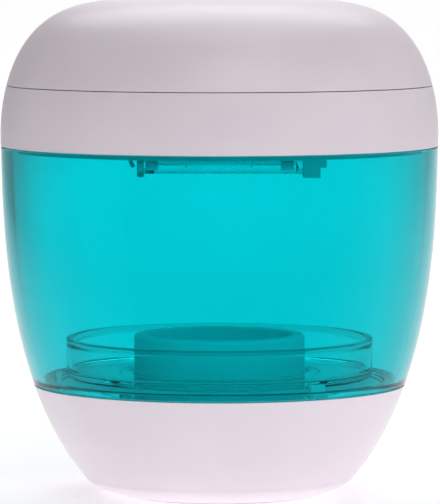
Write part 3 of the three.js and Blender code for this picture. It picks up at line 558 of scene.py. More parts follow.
def new_skin(name, colour, deep, roughness, drift, grain, flow):
    """A material with the skin group, linked to its colour and roughness. Lengths are in millimetres."""
    material, tree, shader, place = new_material(name)
    skin = use_group(tree, moulded_skin, Vector=place, Colour=colour, Deep_Colour=deep,
                     Roughness=roughness, Gloss_Drift=drift, Grain_Size=grain * mm, Flow_Size=flow * mm)
    fill(tree, shader, {"Base Color": skin["Colour"], "Roughness": skin["Roughness"]})
    return material, tree, shader, place, skin


def skin_material(name, colour, deep, roughness, drift=0.05, grain=0.25, depth=0.003, flow=20, gloss=0.5):
    """A moulded material: satin plastic, silicone, lacquer."""
    colours = linear(*colour), linear(*deep)
    material, tree, shader, place, skin = new_skin(name, *colours, roughness, drift, grain, flow)
    shader.inputs["Specular IOR Level"].default_value = gloss
    bump(tree, shader, skin["Height"], depth)
    return material


white_shell = skin_material("white_satin_shell", (229, 218, 227), (225, 213, 223), 0.36, drift=0.06,
                            grain=0.22, depth=0.0035)
pale_inner = skin_material("pale_inner_plastic", (219, 218, 221), (213, 212, 216), 0.48, drift=0.07,
                           grain=0.3, depth=0.006)
# The same inner plastic painted lighter: painted light for the deck, the tray and the socket, which get
# little light inside the case.
inner_painted_light = skin_material("bright_inner_plastic", (238, 237, 239), (232, 231, 234), 0.48, drift=0.07,
                             grain=0.3, depth=0.006)
grey_silicone = skin_material("grey_silicone", (198, 196, 200), (190, 188, 193), 0.72, drift=0.1,
                              grain=0.12, depth=0.006, flow=8, gloss=0.35)
soft_button = skin_material("soft_white_silicone", (224, 214, 222), (219, 208, 217), 0.5, drift=0.06,
                            grain=0.15, depth=0.004, flow=8, gloss=0.4)
seal_rubber = skin_material("seal_silicone", (218, 216, 220), (210, 208, 213), 0.68, drift=0.12,
                            grain=0.1, depth=0.006, flow=6, gloss=0.35)
dark_moulding = skin_material("dark_moulding", (38, 40, 42), (30, 31, 33), 0.5, drift=0.12, grain=0.15,
                              depth=0.008, flow=5)
red_lead = skin_material("red_lead", (178, 34, 32), (160, 26, 26), 0.5, flow=4)
amber_film = skin_material("amber_film", (200, 138, 58), (184, 120, 44), 0.35, flow=5)
print("skins:", [m.name for m in (white_shell, pale_inner, inner_painted_light, grey_silicone, soft_button)])

# %% [markdown]
# Polished, spun and drawn metal differ only in where the marks run. `across` is the value that changes
# from one line to the next: the distance to the middle axis on spun pieces, the place along X on pieces
# turned about X, and the height on drawn rods.

# %% Metals
def across_rings(tree, place):
    flat = add_node(tree, "ShaderNodeVectorMath", {"operation": "MULTIPLY"}, i0=place, i1=(1, 1, 0))
    reach = add_node(tree, "ShaderNodeVectorMath", {"operation": "LENGTH"}, i0=flat.outputs[0])
    return reach.outputs["Value"]


def across_axis(axis):
    def across(tree, place):
        return add_node(tree, "ShaderNodeSeparateXYZ", Vector=place).outputs[axis]
    return across


def metal_material(name, colour, roughness, across, drift=0.15, line=0.06, depth=0.002):
    material, tree, shader, place = new_material(name)
    marks = use_group(tree, tool_marks, Across=across(tree, place), Vector=place, Line_Width=line * mm,
                      Roughness=roughness, Drift=drift)
    shade = add_node(tree, "ShaderNodeCombineColor", Red=marks["Shade"], Green=marks["Shade"],
                     Blue=marks["Shade"])
    tint = mix_colours(tree, 1.0, linear(*colour), shade.outputs[0], "MULTIPLY")
    fill(tree, shader, {"Base Color": tint, "Roughness": marks["Roughness"], "Metallic": 1})
    bump(tree, shader, marks["Height"], depth)
    return material


spun_steel = metal_material("turned_steel", (196, 198, 200), 0.3, across_rings)
drawn_steel = metal_material("drawn_steel", (212, 214, 216), 0.36, across_axis("Z"))
ringed_steel = metal_material("cap_steel", (210, 212, 214), 0.4, across_axis("X"))
bright_sheet = metal_material("reflector_sheet", (226, 228, 230), 0.14, across_rings, drift=0.08,
                              line=0.05, depth=0.0008)
foil_pouch = metal_material("foil_pouch", (190, 193, 197), 0.38, across_axis("Y"), drift=0.25, line=0.4,
                            depth=0.02)
ferrite_core = skin_material("ferrite_core", (60, 57, 54), (48, 45, 43), 0.55, drift=0.15, grain=0.1,
                             depth=0.01, flow=3)
print("metals:", [m.name for m in (spun_steel, drawn_steel, ringed_steel, bright_sheet, foil_pouch)])

# %% [markdown]
# The chamber is clear plastic tinted teal. A Principled shader with full transmission bends the light as
# the real wall does, so the rims go dark by themselves. Its colour counts once for each wall, half of it
# at either skin, and deepens where Layer Weight says that the skin is seen edge on. With colour on both
# skins of the window, the inner one's rim shows as a dark ring, so the outer skin alone has the colour.
# Lamp rays can't find their way through bent glass, so for shadow rays a Transparent shader with a tint of
# its own takes its place. Light Path stays in the material, where the export can read it.

# %% Clear materials
tint_turns = (0.5, 0.88)


def clear_material(name, tint, edge_tint, shine, shadow_tint, roughness, index):
    """Glass whose tint deepens where it is seen edge on, and whose face-on shine has a tint too."""
    worn = [0.98 * value for value in tint[:3]] + [1]
    material, tree, shader, place, skin = new_skin(name, tint, worn, roughness, drift=0.01, grain=3, flow=25)
    aslant = add_node(tree, "ShaderNodeLayerWeight", Blend=0.5).outputs["Facing"]
    slanted = remap(tree, aslant, *tint_turns, 0.0, 1.0)
    fill(tree, shader, {"Base Color": mix_colours(tree, slanted, skin["Colour"], edge_tint),
                        "Transmission Weight": 1, "IOR": index, "Specular Tint": shine})
    bump(tree, shader, skin["Height"], 0.002)
    let_through = add_node(tree, "ShaderNodeBsdfTransparent", Color=shadow_tint)
    path = tree.nodes.new("ShaderNodeLightPath").outputs["Is Shadow Ray"]
    mixed = add_node(tree, "ShaderNodeMixShader", i0=path, i1=shader.outputs[0], i2=let_through.outputs[0])
    tree.links.new(mixed.outputs[0], tree.nodes["Material Output"].inputs["Surface"])
    return material


teal_window = clear_material("teal_window", (0.0001, 0.52, 0.588, 1), (0.0001, 0.38, 0.44, 1),
                             (0.02, 0.8, 0.85, 1), (0.13, 0.96, 0.96, 1), 0.02, 1.35)
clear_inside = clear_material("clear_window_inside", white, white, white, white, 0.02, 1.35)
clear_dish = clear_material("clear_dish", (0.97, 0.99, 0.99, 1), (0.9, 0.95, 0.95, 1), white,
                            (0.98, 0.99, 0.99, 1), 0.03, 1.22)
# The lip's darker tint is painted shade; the dish's plastic is clear all through.
lip_painted_shade = clear_material("clear_dish_lip", (0.48, 0.63, 0.63, 1), (0.48, 0.63, 0.63, 1), white,
                           (0.9, 0.94, 0.94, 1), 0.05, 1.22)
quartz_glass = clear_material("quartz_glass", (0.98, 0.985, 0.99, 1), (0.94, 0.96, 0.97, 1), white,
                              (0.98, 0.98, 0.98, 1), 0.02, 1.46)
print("clear:", [m.name for m in (teal_window, clear_inside, clear_dish, lip_painted_shade, quartz_glass)])

# %% [markdown]
# Circuit boards are never plain green. Copper tracks under the lacquer show as paler bands, with bare
# tinned spots where parts are soldered. A brick pattern stands in for the tracks, and a Voronoi pattern
# for the spots.

# %% Circuit board
track_scale, spot_scale, spot_edge = 260.0, 420.0, (0.14, 0.18)


def circuit_board_material():
    shades = white, (0.9, 0.9, 0.9, 1)
    material, tree, shader, place, skin = new_skin("green_board", *shades, roughness=0.32, drift=0.1,
                                                   grain=0.2, flow=6)
    tracks = add_node(tree, "ShaderNodeTexBrick", {"offset": 0.37, "squash": 0.7}, Vector=place,
                      Scale=track_scale, Mortar_Size=0.06, Mortar_Smooth=0.1)
    spots = add_node(tree, "ShaderNodeTexVoronoi", Vector=place, Scale=spot_scale)
    solder = remap(tree, spots.outputs["Distance"], *spot_edge, 1.0, 0.0)
    lacquer = mix_colours(tree, tracks.outputs["Fac"], linear(24, 92, 52), linear(44, 122, 72))
    colour = mix_colours(tree, solder, lacquer, linear(196, 194, 186))
    fill(tree, shader, {"Base Color": mix_colours(tree, 1.0, colour, skin["Colour"], "MULTIPLY"),
                        "Metallic": solder})
    bump(tree, shader, calculate(tree, "ADD", tracks.outputs["Fac"], solder), 0.03)
    return material


green_board = circuit_board_material()
print("board:", green_board.name)

# %% [markdown]
# A piece is finished when it has its material, rides on its body and names the node it stands for. One helper
# says all three. Another gives some of its faces a second material, for the clear pieces whose colour isn't
# the same all over.

# %% Finishing a piece
def finish(piece, name, material, body, slot, *nodes):
    """Names a piece, paints it, and says what it rides on and stands for."""
    piece.name = piece.data.name = name
    piece.data.materials.clear()
    piece.data.materials.append(material)
    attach(piece, body)
    if nodes:
        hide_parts(*nodes)
    print(f"{name} for {', '.join(nodes)}: {len(piece.data.polygons)} faces")


def paint_where(piece, material, chosen):
    """Gives the faces whose middle is chosen a second material."""
    piece.data.materials.append(material)
    for face in piece.data.polygons:
        face.material_index = int(chosen(face.center))


# %% [markdown]
# The bowl is the part that stands on the table. Its section goes from the recess for the pad, round the
# foot and up the side to the rim, then down the rebate that takes the window and along the inside. The
# rim's outer edge is the dark line of the seam, so its round is small, and the side stops `edge_room`
# short of it.

# %% The bowl and its foot pad
shell_wall = 2.2 * mm
seam_round = 0.08
edge_room = 0.2 * mm
base_rim = base_seam - fit / 2
base_ledge = base_seam - 2.8 * mm
rebate = outside(base_ledge) - 1 * mm
foot_radius = 18.3 * mm
foot_edge = 3 * mm
foot_lift = 0.25 * mm
foot_power = 1.472
pad_radius = highest("foot_pad").x
pad_roof = highest("foot_pad").z + fit
floor_top = pad_roof + 2 * mm


def foot_round(steps=14):
    """Section points from the foot ring up to the side."""
    reach, rise = outside(foot_edge) - foot_radius, foot_edge - foot_lift
    angles = [quarter_turn * i / steps for i in range(steps)]
    return [(foot_radius + reach * math.sin(a) ** foot_power,
             foot_lift + rise * (1 - math.cos(a) ** foot_power)) for a in angles]


bowl = turned("base_shell", [
    (0, pad_roof), (pad_radius + fit, pad_roof, 0.3), (pad_radius + fit, foot_lift, 0.15),
    *foot_round(), *side(foot_edge, base_rim - edge_room, 28),
    (outside(base_rim), base_rim, seam_round), (rebate, base_rim, 0.2), (rebate, base_ledge, 0.1),
    *side(base_ledge, floor_top + 1.2 * mm, 10, shell_wall),
    (outside(floor_top) - shell_wall, floor_top, 1.2), (0, floor_top),
])
screw_places = around(3, 13 * mm, quarter_turn)
head_hole, shank_hole, sink = 2.7 * mm, 1.4 * mm, pad_roof + 0.9 * mm
sunk_holes = [stepped_rod([(head_hole, pad_roof - past), (head_hole, sink), (shank_hole, sink),
                           (shank_hole, floor_top + past)], x, y) for x, y in screw_places]
cut(bowl, *sunk_holes)
finish(bowl, "base_shell_skin", white_shell, "base", "shell", "base_shell")

pad_high = highest("foot_pad").z
pad = turned("foot_pad", [(0, 0), (pad_radius, 0, 0.5), (pad_radius, pad_high, 0.15), (0, pad_high)])
finish(pad, "foot_pad_skin", grey_silicone, "base", "silicone", "foot_pad")

# %% [markdown]
# The window is one clear moulding: a tongue that drops into the bowl's rebate, the wall, and the middle
# knuckle of the hinge at the back. The knuckle is a slab whose outline runs round the pin and down to a
# root on the wall. It is fused to the wall first, and the pin's hole is cut through both last. The photo's
# seams are finer than the gap between two solids, so the edges there come `closer` than the gap.

# %% The window and its knuckle
window_wall = 2 * mm
skin_share = 0.75
closer = 0.09 * mm
root_depth, root_skin, root_length = 3.55 * mm, 0.45 * mm, 6.8 * mm
hinge_y = halfway("hinge_pin", "y")
hinge_half = highest("hinge_pin").x + fit
pin_radius = 0.8 * mm
knuckle_radius = cad_box[1].y - hinge_y
middle_knuckle_half = 0.475 * hinge_half
window_low = base_seam + fit / 2
window_rim = lid_seam - fit / 2
tongue_outer = outside(base_ledge) - 1 * mm - fit
tongue_inner = tongue_outer - 1.15 * mm
shelf = window_low + 1 * mm
deck_top = highest("deck").z - 2.25 * mm


def bracket_outline(up):
    """A knuckle with its root on the wall: up is 1 for the lid and -1 for the window."""
    rim = lid_seam + up * fit / 2
    tip = lid_seam + up * root_length
    inner = widest_radius - root_depth
    round_knuckle = arc(hinge_y, lid_seam, knuckle_radius, up * 0.646, -up * math.pi, 28)
    return [*round_knuckle, (hinge_y - knuckle_radius, rim), (inner, rim), (inner, tip),
            (widest_radius - root_skin, tip)]


def core(wall, low, high):
    """The inside of a shell, to the middle of its wall, for trimming what stands on the outside."""
    return turned("core", [(0, low), *side(low, high, 12, wall / 2), (0, high)])


def pin_hole():
    reach = hinge_half + past
    return along_x(rod(pin_radius + fit, -reach, reach), hinge_y, lid_seam)


window = turned_ring("chamber", [
    (tongue_inner, lowest("chamber").z, 0.15), (tongue_outer, lowest("chamber").z, 0.3),
    (tongue_outer, window_low), (outside(window_low), window_low, seam_round),
    *side(window_low + edge_room, window_rim - 0.3 * mm, 44),
    (outside(window_rim), window_rim + closer, seam_round),
    (outside(window_rim) - window_wall, window_rim, 0.25),
    *side(window_rim - 0.4 * mm, shelf + 0.6 * mm, 36, window_wall),
    (outside(shelf) - window_wall, shelf, 0.4), (tongue_inner, shelf, 0.15),
])
knuckle = slab(bracket_outline(-1), -middle_knuckle_half, middle_knuckle_half, 0.2)
cut(knuckle, core(window_wall, base_seam, lid_seam))
fuse(window, knuckle)
cut(window, pin_hole())
finish(window, "chamber_skin", teal_window, "base", "window", "chamber")
paint_where(window, clear_inside,
            lambda spot: math.hypot(spot.x, spot.y) < outside(spot.z) - skin_share * window_wall)

# %% [markdown]
# The deck is the opaque floor of the chamber. Three lugs near its rim keep the dish in the middle, and
# three stepped bosses underneath take the screws that clamp the ballast. The lugs repeat, so they are one
# shape turned about the axis. The cradle's screw goes through the middle, so the deck is a ring about it.

# %% The deck with its lugs
deck_radius = tongue_inner - fit
deck_low = deck_top - 1.9 * mm
pilot = 1.3 * mm
lug_outer, lug_inner, lug_half = deck_radius - 0.1 * mm, deck_radius - 1.2 * mm, 1.5 * mm
ballast_low, ballast_high = span("ballast_plate", "z")
lug_angle = math.radians(-54.7)

floor = turned_ring("deck", [(pilot, deck_low), (deck_radius, deck_low, 0.3),
                             (deck_radius, deck_top, 0.35), (pilot, deck_top)])
lugs = []
for i in range(3):
    lug = block(lug_inner, lug_outer, -lug_half, lug_half, deck_low + 0.4 * mm,
                highest("deck").z, 0.25)
    lugs.append(moved(lug, Matrix.Rotation(lug_angle + i * 2 * math.pi / 3, 4, "Z")))
shoulder = ballast_high + fit
neck, foot = 3 * mm, 4.2 * mm
bosses = [stepped_rod([(neck, ballast_low, 0.2), (neck, shoulder), (foot, shoulder, 0.2),
                       (foot, deck_low + 0.5 * mm)], x, y) for x, y in screw_places]
fuse(floor, *lugs, *bosses)
drill_end = pad_roof + 9 * mm
cut(floor, *rods(screw_places, pilot, ballast_low - past, drill_end, flats=drill_flats))
# The deck takes the inner plastic painted lighter, as painted light.
finish(floor, "deck_floor", inner_painted_light, "base", "inner", "deck")

# %% [markdown]
# The drum on the deck takes the pacifier's knob: a recess with a low rest in its middle, where one screw
# holds it down. Around it stands a clear dish that catches drops and lifts out for washing. Its lip
# shows as a darker band in the photo, so the lip's faces have a deeper tint. Both pieces have generous
# rounds, as parts that are wiped clean do.

# %% The drum and the dish
holder_low = deck_top + fit
drum_radius, drum_top = highest("cradle").x, highest("cradle").z
recess_radius, recess_floor = 12.5 * mm, holder_low + 3.35 * mm
rest_radius, rest_top = 4 * mm, holder_low + 5.35 * mm
hole_end = rest_top - 1.2 * mm
drum = turned("cradle", [
    (0, hole_end), (pilot, hole_end), (pilot, holder_low, 0.1),
    (drum_radius, holder_low, 0.3), (drum_radius, drum_top, 0.7),
    (recess_radius, drum_top, 0.6), (recess_radius, recess_floor, 0.8),
    (rest_radius, recess_floor, 0.5), (rest_radius, rest_top, 0.5), (0, rest_top),
])
finish(drum, "cradle_drum", pale_inner, "base", "inner", "cradle")

dish_radius, dish_top = highest("holder_dish").x, highest("holder_dish").z
dish_inner = dish_radius - 0.95 * mm
lip_inner = dish_inner - 0.35 * mm
lip_low = dish_top - 1 * mm
dish_hole = 15.6 * mm
stand = dish_hole + 2 * mm
dish_low = holder_low + 1.15 * mm
dish = turned_ring("holder_dish", [
    (dish_hole, holder_low, 0.25), (stand, holder_low, 0.25), (stand, dish_low, 0.3),
    (dish_radius, dish_low, 1), (dish_radius, dish_top, 0.3), (lip_inner, dish_top, 0.3),
    (lip_inner, lip_low, 0.25), (dish_inner, lip_low - 0.35 * mm, 0.25),
    (dish_inner, dish_low + 1 * mm, 1), (dish_hole, dish_low + 1 * mm, 0.3),
])
finish(dish, "holder_dish_clear", clear_dish, "dish", "clear", "holder_dish")
# The lip's faces get painted shade: a darker tint than the clear dish.
paint_where(dish, lip_painted_shade, lambda spot: spot.z > lip_low)

# %% [markdown]
# Two silicone rings close the chamber: one under the window's tongue and one that the window's rim
# presses against when the lid is shut. The steel pin of the hinge is a plain rod with rounded ends.

# %% Seals and hinge pin
def ring_between(node, width, edge):
    """A ring with the height and outer radius of a node, and rounded corners."""
    outer, (low, high) = highest(node).x, span(node, "z")
    return turned_ring(node, [(outer - width, low, edge), (outer, low, edge), (outer, high, edge),
                              (outer - width, high, edge)])


seal_width = 2.55 * mm
seal_rows = (("base_seal", "base", 0.9 * mm, 0.2), ("lid_seal", "lid", seal_width, 0.35))
for node, body, width, edge in seal_rows:
    finish(ring_between(node, width, edge), f"{node}_ring", seal_rubber, body, "seal", node)

pin_half = highest("hinge_pin").x
pin = along_x(rod(pin_radius, -pin_half, pin_half, edge=0.25), hinge_y, lid_seam)
finish(pin, "hinge_pin_rod", drawn_steel, "base", "steel", "hinge_pin")

# %% [markdown]
# The lid ring is the white band. It has a ledge inside that the dome and the tray are screwed to, the
# two outer knuckles, and at the back a port for charging in a shallow recess, which takes the flap. The
# recess follows the ring's round, because its tool is a block without what lies inside the ring's skin.

# %% The lid ring
ring_low, ring_high = lid_seam + fit / 2, dome_seam - fit / 2
ledge_low, ledge_high = lid_seam + 2.4 * mm, lid_seam + 3.7 * mm
ledge_radius = widest_radius - shell_wall - 2.75 * mm
usb_low, usb_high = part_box("usb_socket")
flap_low, flap_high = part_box("usb_flap")
flap_half = flap_high.x
flap_sink, flap_thickness = 0.15 * mm, 0.9 * mm
port_room = 0.4 * mm
port_half = usb_high.x + port_room

band = turned_ring("lid_ring", [
    (outside(ring_low), ring_low - closer, seam_round),
    *side(ring_low + edge_room, ring_high - edge_room, 16),
    (outside(ring_high), ring_high + closer, seam_round),
    (outside(ring_high) - shell_wall, ring_high, 0.2),
    *side(ring_high - 0.4 * mm, ledge_high, 6, shell_wall), (ledge_radius, ledge_high, 0.3),
    (ledge_radius, ledge_low, 0.3), *side(ledge_low, ring_low + 0.4 * mm, 4, shell_wall),
    (outside(ring_low) - shell_wall, ring_low, 0.2),
])
knuckles = [slab(bracket_outline(1), left, right, 0.2) for left, right in
            ((middle_knuckle_half + fit, hinge_half), (-hinge_half, -middle_knuckle_half - fit))]
for outer_knuckle in knuckles:
    cut(outer_knuckle, core(shell_wall, lid_seam, dome_seam))
fuse(band, *knuckles)


def flap_block(margin, edge):
    """The block at the back that bounds the flap, grown by a margin."""
    half = flap_half + margin
    return block(-half, half, ledge_radius, widest_radius + past, flap_low.z - margin,
                 flap_high.z + margin, edge)


recess_depth = flap_sink + flap_thickness + fit
recess = cut(flap_block(fit, 0.5), core(2 * recess_depth, lid_seam, dome_seam))
port = block(-port_half, port_half, ledge_radius, widest_radius + past, usb_low.z - port_room,
             usb_high.z + port_room, 0.4)
cut(band, pin_hole(), port, recess)
finish(band, "lid_ring_band", white_shell, "lid", "shell", "lid_ring")

# %% [markdown]
# The flap is soft silicone with a plug on its inside that fills the port's mouth. What is left of a
# block between two copies of the outside shape follows the ring's round. Its edges are well rounded.

# %% The charging flap
flap = flap_block(0, 0.35)
flap_skin = core(2 * flap_sink, lid_seam, dome_seam)
cut(flap_skin, core(2 * (flap_sink + flap_thickness), lid_seam - past, dome_seam + past))
combined(flap, "INTERSECT", [flap_skin])
port_middle = (usb_low.z + usb_high.z) / 2
plug_half, plug_rise = 3.5 * mm, 0.95 * mm
plug = block(-plug_half, plug_half, usb_high.y + 0.5 * mm, widest_radius - 0.6 * mm,
             port_middle - plug_rise, port_middle + plug_rise, 0.3)
fuse(flap, plug)
finish(flap, "usb_flap_soft", grey_silicone, "flap", "silicone", "usb_flap")

# %% [markdown]
# The dome is the white top: a skirt that drops into the ring, the crown, and inside it three screw
# bosses and two posts for the small board. The crown is nearly flat with a hole for the button, and the
# inside follows the outside two millimetres in.

# %% The dome
dome_wall = 2 * mm
dome_low = dome_seam + fit / 2
skirt_low, skirt_high = dome_seam - 2 * mm, dome_seam + 3 * mm
skirt_outer, skirt_wall = outside(ring_high) - shell_wall - fit, 1.3 * mm
ceiling = crown_edge - dome_wall
button_radius = 6 * mm
button_hole = button_radius + fit
light_y = halfway("light_pipe", "y")
boss_places = around(3, widest_radius - 9.45 * mm, quarter_turn / 3)
small_low = highest("button_board").z + fit
boss_radius, post_radius, small_pilot, guide_radius = 2.8 * mm, 2.2 * mm, 1 * mm, 1.2 * mm
post_places = [(-11.5 * mm, -3 * mm), (11.5 * mm, -3 * mm)]


def under_crown(start, end, steps, wall):
    """Inside of the crown: the outside shape lowered and set in by a wall."""
    return [(r, z - wall) for r, z in side(start + wall, end + wall, steps, wall)]


def crown_side(start, steps):
    """The side up to the crown's edge, with steps that shorten as it turns over."""
    shares = [math.sin(quarter_turn * i / steps) for i in range(steps + 1)]
    return [(outside(start + (crown_edge - start) * s), start + (crown_edge - start) * s) for s in shares]


crown_points = [(outside(crown_edge) * share, crown_top(outside(crown_edge) * share))
                for share in (0.92, 0.8, 0.65, 0.5, 0.38)]
dome = turned_ring("lid_dome", [
    (skirt_outer - skirt_wall, skirt_low, 0.2), (skirt_outer, skirt_low, 0.3),
    (skirt_outer, dome_low), (outside(dome_low), dome_low - closer, seam_round),
    *crown_side(dome_low + edge_room, 48), *crown_points,
    (button_hole, crown_top(button_hole), 0.3), (button_hole, ceiling + crown_rise, 0.1),
    *under_crown(ceiling, skirt_high, 20, dome_wall),
])
lid_inside = turned("inside", [(0, lid_seam), (ledge_radius, lid_seam),
                               *under_crown(skirt_high, ceiling + dome_wall / 2, 20, dome_wall / 2),
                               (0, ceiling + dome_wall / 2)])
bosses = rods(boss_places, boss_radius, lowest("lid_dome").z, crown_edge - 1.5 * mm, 0.2)
for boss in bosses:
    inside_copy = new_piece("inside_copy", [])
    inside_copy.data = lid_inside.data.copy()
    combined(boss, "INTERSECT", [inside_copy])
bpy.data.objects.remove(lid_inside)
posts = rods(post_places, post_radius, small_low, ceiling + 0.9 * mm, 0.15)
fuse(dome, *bosses, *posts)
pilot_end, small_end = ledge_high + 6.6 * mm, small_low + 3.5 * mm
pilots = rods(boss_places, pilot, ledge_low - 2 * mm, pilot_end)
pilots += rods(post_places, small_pilot, small_low - past, small_end)
light_hole = rod(guide_radius + fit, ceiling - past, total_height + past, 0, light_y)
notch = block(-port_half, port_half, usb_low.y, skirt_outer + past, skirt_low - past,
              usb_high.z + 1.3 * mm)
cut(dome, light_hole, notch, *pilots)
finish(dome, "lid_dome_shell", white_shell, "lid", "shell", "lid_dome")

# %% [markdown]
# The button floats in the crown's hole on its flange. Its top is dished a third of a millimetre, so that
# a finger finds it, and a stem reaches down to the switch. The light guide beside it is a clear rod with
# a flange, its end flush with the crown.

# %% The button and the light guide
button_low, button_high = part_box("power_button")
stem_radius = 1.5 * mm
flange_low = ceiling - 0.5 * mm
flange_high = flange_low + 0.7 * mm
flange_radius = button_high.y
dish_depth = 0.3 * mm
button = turned("power_button", [
    (0, button_low.z), (stem_radius, button_low.z, 0.2), (stem_radius, flange_low, 0.1),
    (flange_radius, flange_low, 0.15), (flange_radius, flange_high, 0.15),
    (button_radius, flange_high), (button_radius, button_high.z, 0.35),
    *[(button_radius * share, button_high.z - dish_depth * (1 - share**2))
      for share in (0.9, 0.75, 0.5, 0.25)],
    (0, button_high.z - dish_depth),
], round_flats)
finish(button, "power_button_cap", soft_button, "button", "silicone", "power_button")

guide_low, guide_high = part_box("light_pipe")
stop_radius, stop_low, stop_high = 1.9 * mm, ceiling - 1.1 * mm, ceiling - 0.3 * mm
guide = turned("light_pipe", [
    (0, guide_low.z), (guide_radius, guide_low.z, 0.1), (guide_radius, stop_low),
    (stop_radius, stop_low, 0.1), (stop_radius, stop_high, 0.1),
    (guide_radius, stop_high), (guide_radius, guide_high.z, 0.2), (0, guide_high.z),
], small_flats)
moved(guide, Matrix.Translation((0, light_y, 0)))
finish(guide, "light_guide", clear_dish, "lid", "clear", "light_pipe")

# %% [markdown]
# The tray closes the lid from below. A collar hangs round the lamp, a rib holds the seal, and two posts
# on top carry the main board. Through the chamber it is the round rim that shows under the lid.

# %% The lamp tray
tray_rim = highest("lamp_tray").x
tray_high = ledge_low - fit
tray_low = tray_high - 1.4 * mm
collar_low = lowest("lamp_tray").z
collar_radius = 22.4 * mm
collar_inner = collar_radius - 1.5 * mm
rib = tray_rim - seal_width - fit
rib_inner, rib_low = rib - 0.9 * mm, tray_low - 1.2 * mm
board_places = [(-20.5 * mm, 8 * mm), (20.5 * mm, 8 * mm)]
board_low = lowest("main_board").z
lead_hole = 0.8 * mm
left_lead_x = lowest("lamp_lead_left").x + 0.35 * mm
right_lead_x = halfway("lamp_lead_right", "x")

tray = turned("lamp_tray", [
    (0, tray_low), (collar_inner, tray_low, 0.2), (collar_inner, collar_low, 0.35),
    (collar_radius, collar_low, 0.35), (collar_radius, tray_low, 0.5),
    (rib_inner, tray_low, 0.2), (rib_inner, rib_low, 0.2), (rib, rib_low, 0.2), (rib, tray_low, 0.1),
    (tray_rim, tray_low, 0.2),
    (tray_rim, tray_high, 0.2), (0, tray_high),
])
fuse(tray, *rods(board_places, post_radius, tray_high - 0.2 * mm, board_low - fit, 0.15))
lead_places = [(left_lead_x, 0), (right_lead_x, 0)]
holes = rods(boss_places, shank_hole, tray_low - past, tray_high + past)
holes += rods(lead_places, lead_hole, tray_low - past, tray_high + past)
holes += rods(board_places, small_pilot, tray_high - 0.6 * mm, board_low)
cut(tray, *holes)
# The tray takes the inner plastic painted lighter, as painted light.
finish(tray, "lamp_tray_plate", inner_painted_light, "lid", "inner", "lamp_tray")

# %% [markdown]
# Inside the collar a spun sheet reflector throws the lamp's light down. It is slotted for the clips and
# the socket. The slots are the kind of cut that a press makes after spinning.

# %% The reflector
lamp_z = halfway("uv_lamp", "z")
lamp_radius = (highest("uv_lamp").z - lowest("uv_lamp").z) / 2
clip_half = (highest("lamp_clip_right").x - lowest("lamp_clip_right").x) / 2
clip_x = highest("lamp_clip_right").x - clip_half
socket_low, socket_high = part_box("lamp_socket")
hung_high = tray_low - fit
sheet_radius = highest("reflector").x
sheet_flat = sheet_radius - 2.1 * mm
sheet_low, sheet_drop = hung_high - 0.7 * mm, 1 * mm

mirror_dish = turned("reflector", [
    (0, sheet_low), (sheet_flat, sheet_low, 0.6), (sheet_radius, sheet_low - sheet_drop, 0.1),
    (sheet_radius, hung_high - sheet_drop, 0.1), (sheet_flat, hung_high, 0.6), (0, hung_high),
])
slot_half = 0.9 * mm
slots = [block(x - clip_half - fit, x + clip_half + fit, -slot_half, slot_half, sheet_low - past,
               hung_high + past) for x in (-clip_x, clip_x)]
slots.append(block(socket_low.x - fit, socket_high.x + fit, socket_low.y - fit, socket_high.y + fit,
                   sheet_low - 3 * mm, hung_high + past))
slots.append(rod(lead_hole, sheet_low - 2 * mm, hung_high + past, left_lead_x))
cut(mirror_dish, *slots)
finish(mirror_dish, "reflector_sheet", bright_sheet, "lid", "mirror", "reflector")

# %% [markdown]
# The lamp is a hollow quartz tube with tapered ends. It is turned as a solid, and a second turned shape
# cuts its closed bore. A thin steel cap sits over the free end, and a moulded socket with a step in its
# back takes the wired end. All three are turned or built about the lamp's own axis and laid along X.

# %% The lamp and its ends
lamp_left, lamp_right = span("uv_lamp", "x")
lamp_cone = 0.5 * mm
glass_wall = 0.35 * mm
bore = lamp_radius - glass_wall
tube = turned("uv_lamp", [
    (0, lamp_left), (lamp_radius - lamp_cone, lamp_left, 0.2),
    (lamp_radius, lamp_left + lamp_cone, 0.3), (lamp_radius, lamp_right - lamp_cone, 0.3),
    (lamp_radius - lamp_cone, lamp_right, 0.2), (0, lamp_right),
], small_flats)
plug_end, bore_end = 2 * mm, 2.4 * mm
hollow = turned("bore", [(0, lamp_left + plug_end), (bore, lamp_left + bore_end),
                         (bore, lamp_right - bore_end), (0, lamp_right - plug_end)], small_flats)
tube = along_x(tube, 0, lamp_z)
finish(cut(tube, along_x(hollow, 0, lamp_z)), "uv_lamp_tube", quartz_glass, "lid", "quartz", "uv_lamp")

cap_left, cap_right = span("lamp_cap", "x")
cap_outer = highest("lamp_cap").y
cap_wall = 0.3 * mm
cap_inner = cap_outer - cap_wall
cap = turned("lamp_cap", [
    (0, cap_left), (cap_outer, cap_left, 0.2), (cap_outer, cap_right, 0.1),
    (cap_inner, cap_right, 0.1), (cap_inner, cap_left + cap_wall), (0, cap_left + cap_wall),
], small_flats)
finish(along_x(cap, 0, lamp_z), "lamp_cap_ring", ringed_steel, "lid", "steel", "lamp_cap")

socket = block(socket_low.x, socket_high.x, socket_low.y, socket_high.y, socket_low.z, socket_high.z,
               0.3)
socket_bore = along_x(rod(lamp_radius + fit, socket_low.x - past, socket_low.x + 1.9 * mm), 0, lamp_z)
step = block(socket_high.x - 1.1 * mm, socket_high.x + past, socket_low.y - past, socket_high.y + past,
             socket_low.z - past, lamp_z)
cut(socket, socket_bore, step)
# The socket takes the inner plastic painted lighter, as painted light.
finish(socket, "lamp_socket_block", inner_painted_light, "lid", "inner", "lamp_socket")

# %% [markdown]
# Two steel spring clips hold the tube. Each is a loop that is open below, by `clip_mouth` radians to
# either side, and a stem that goes up through the reflector. Both are the same outline pushed along X,
# so one function makes them.

# %% The clips
clip_sheet, stem_half, stem_step = 0.5 * mm, 0.6 * mm, 0.1 * mm
clip_mouth = 1.32


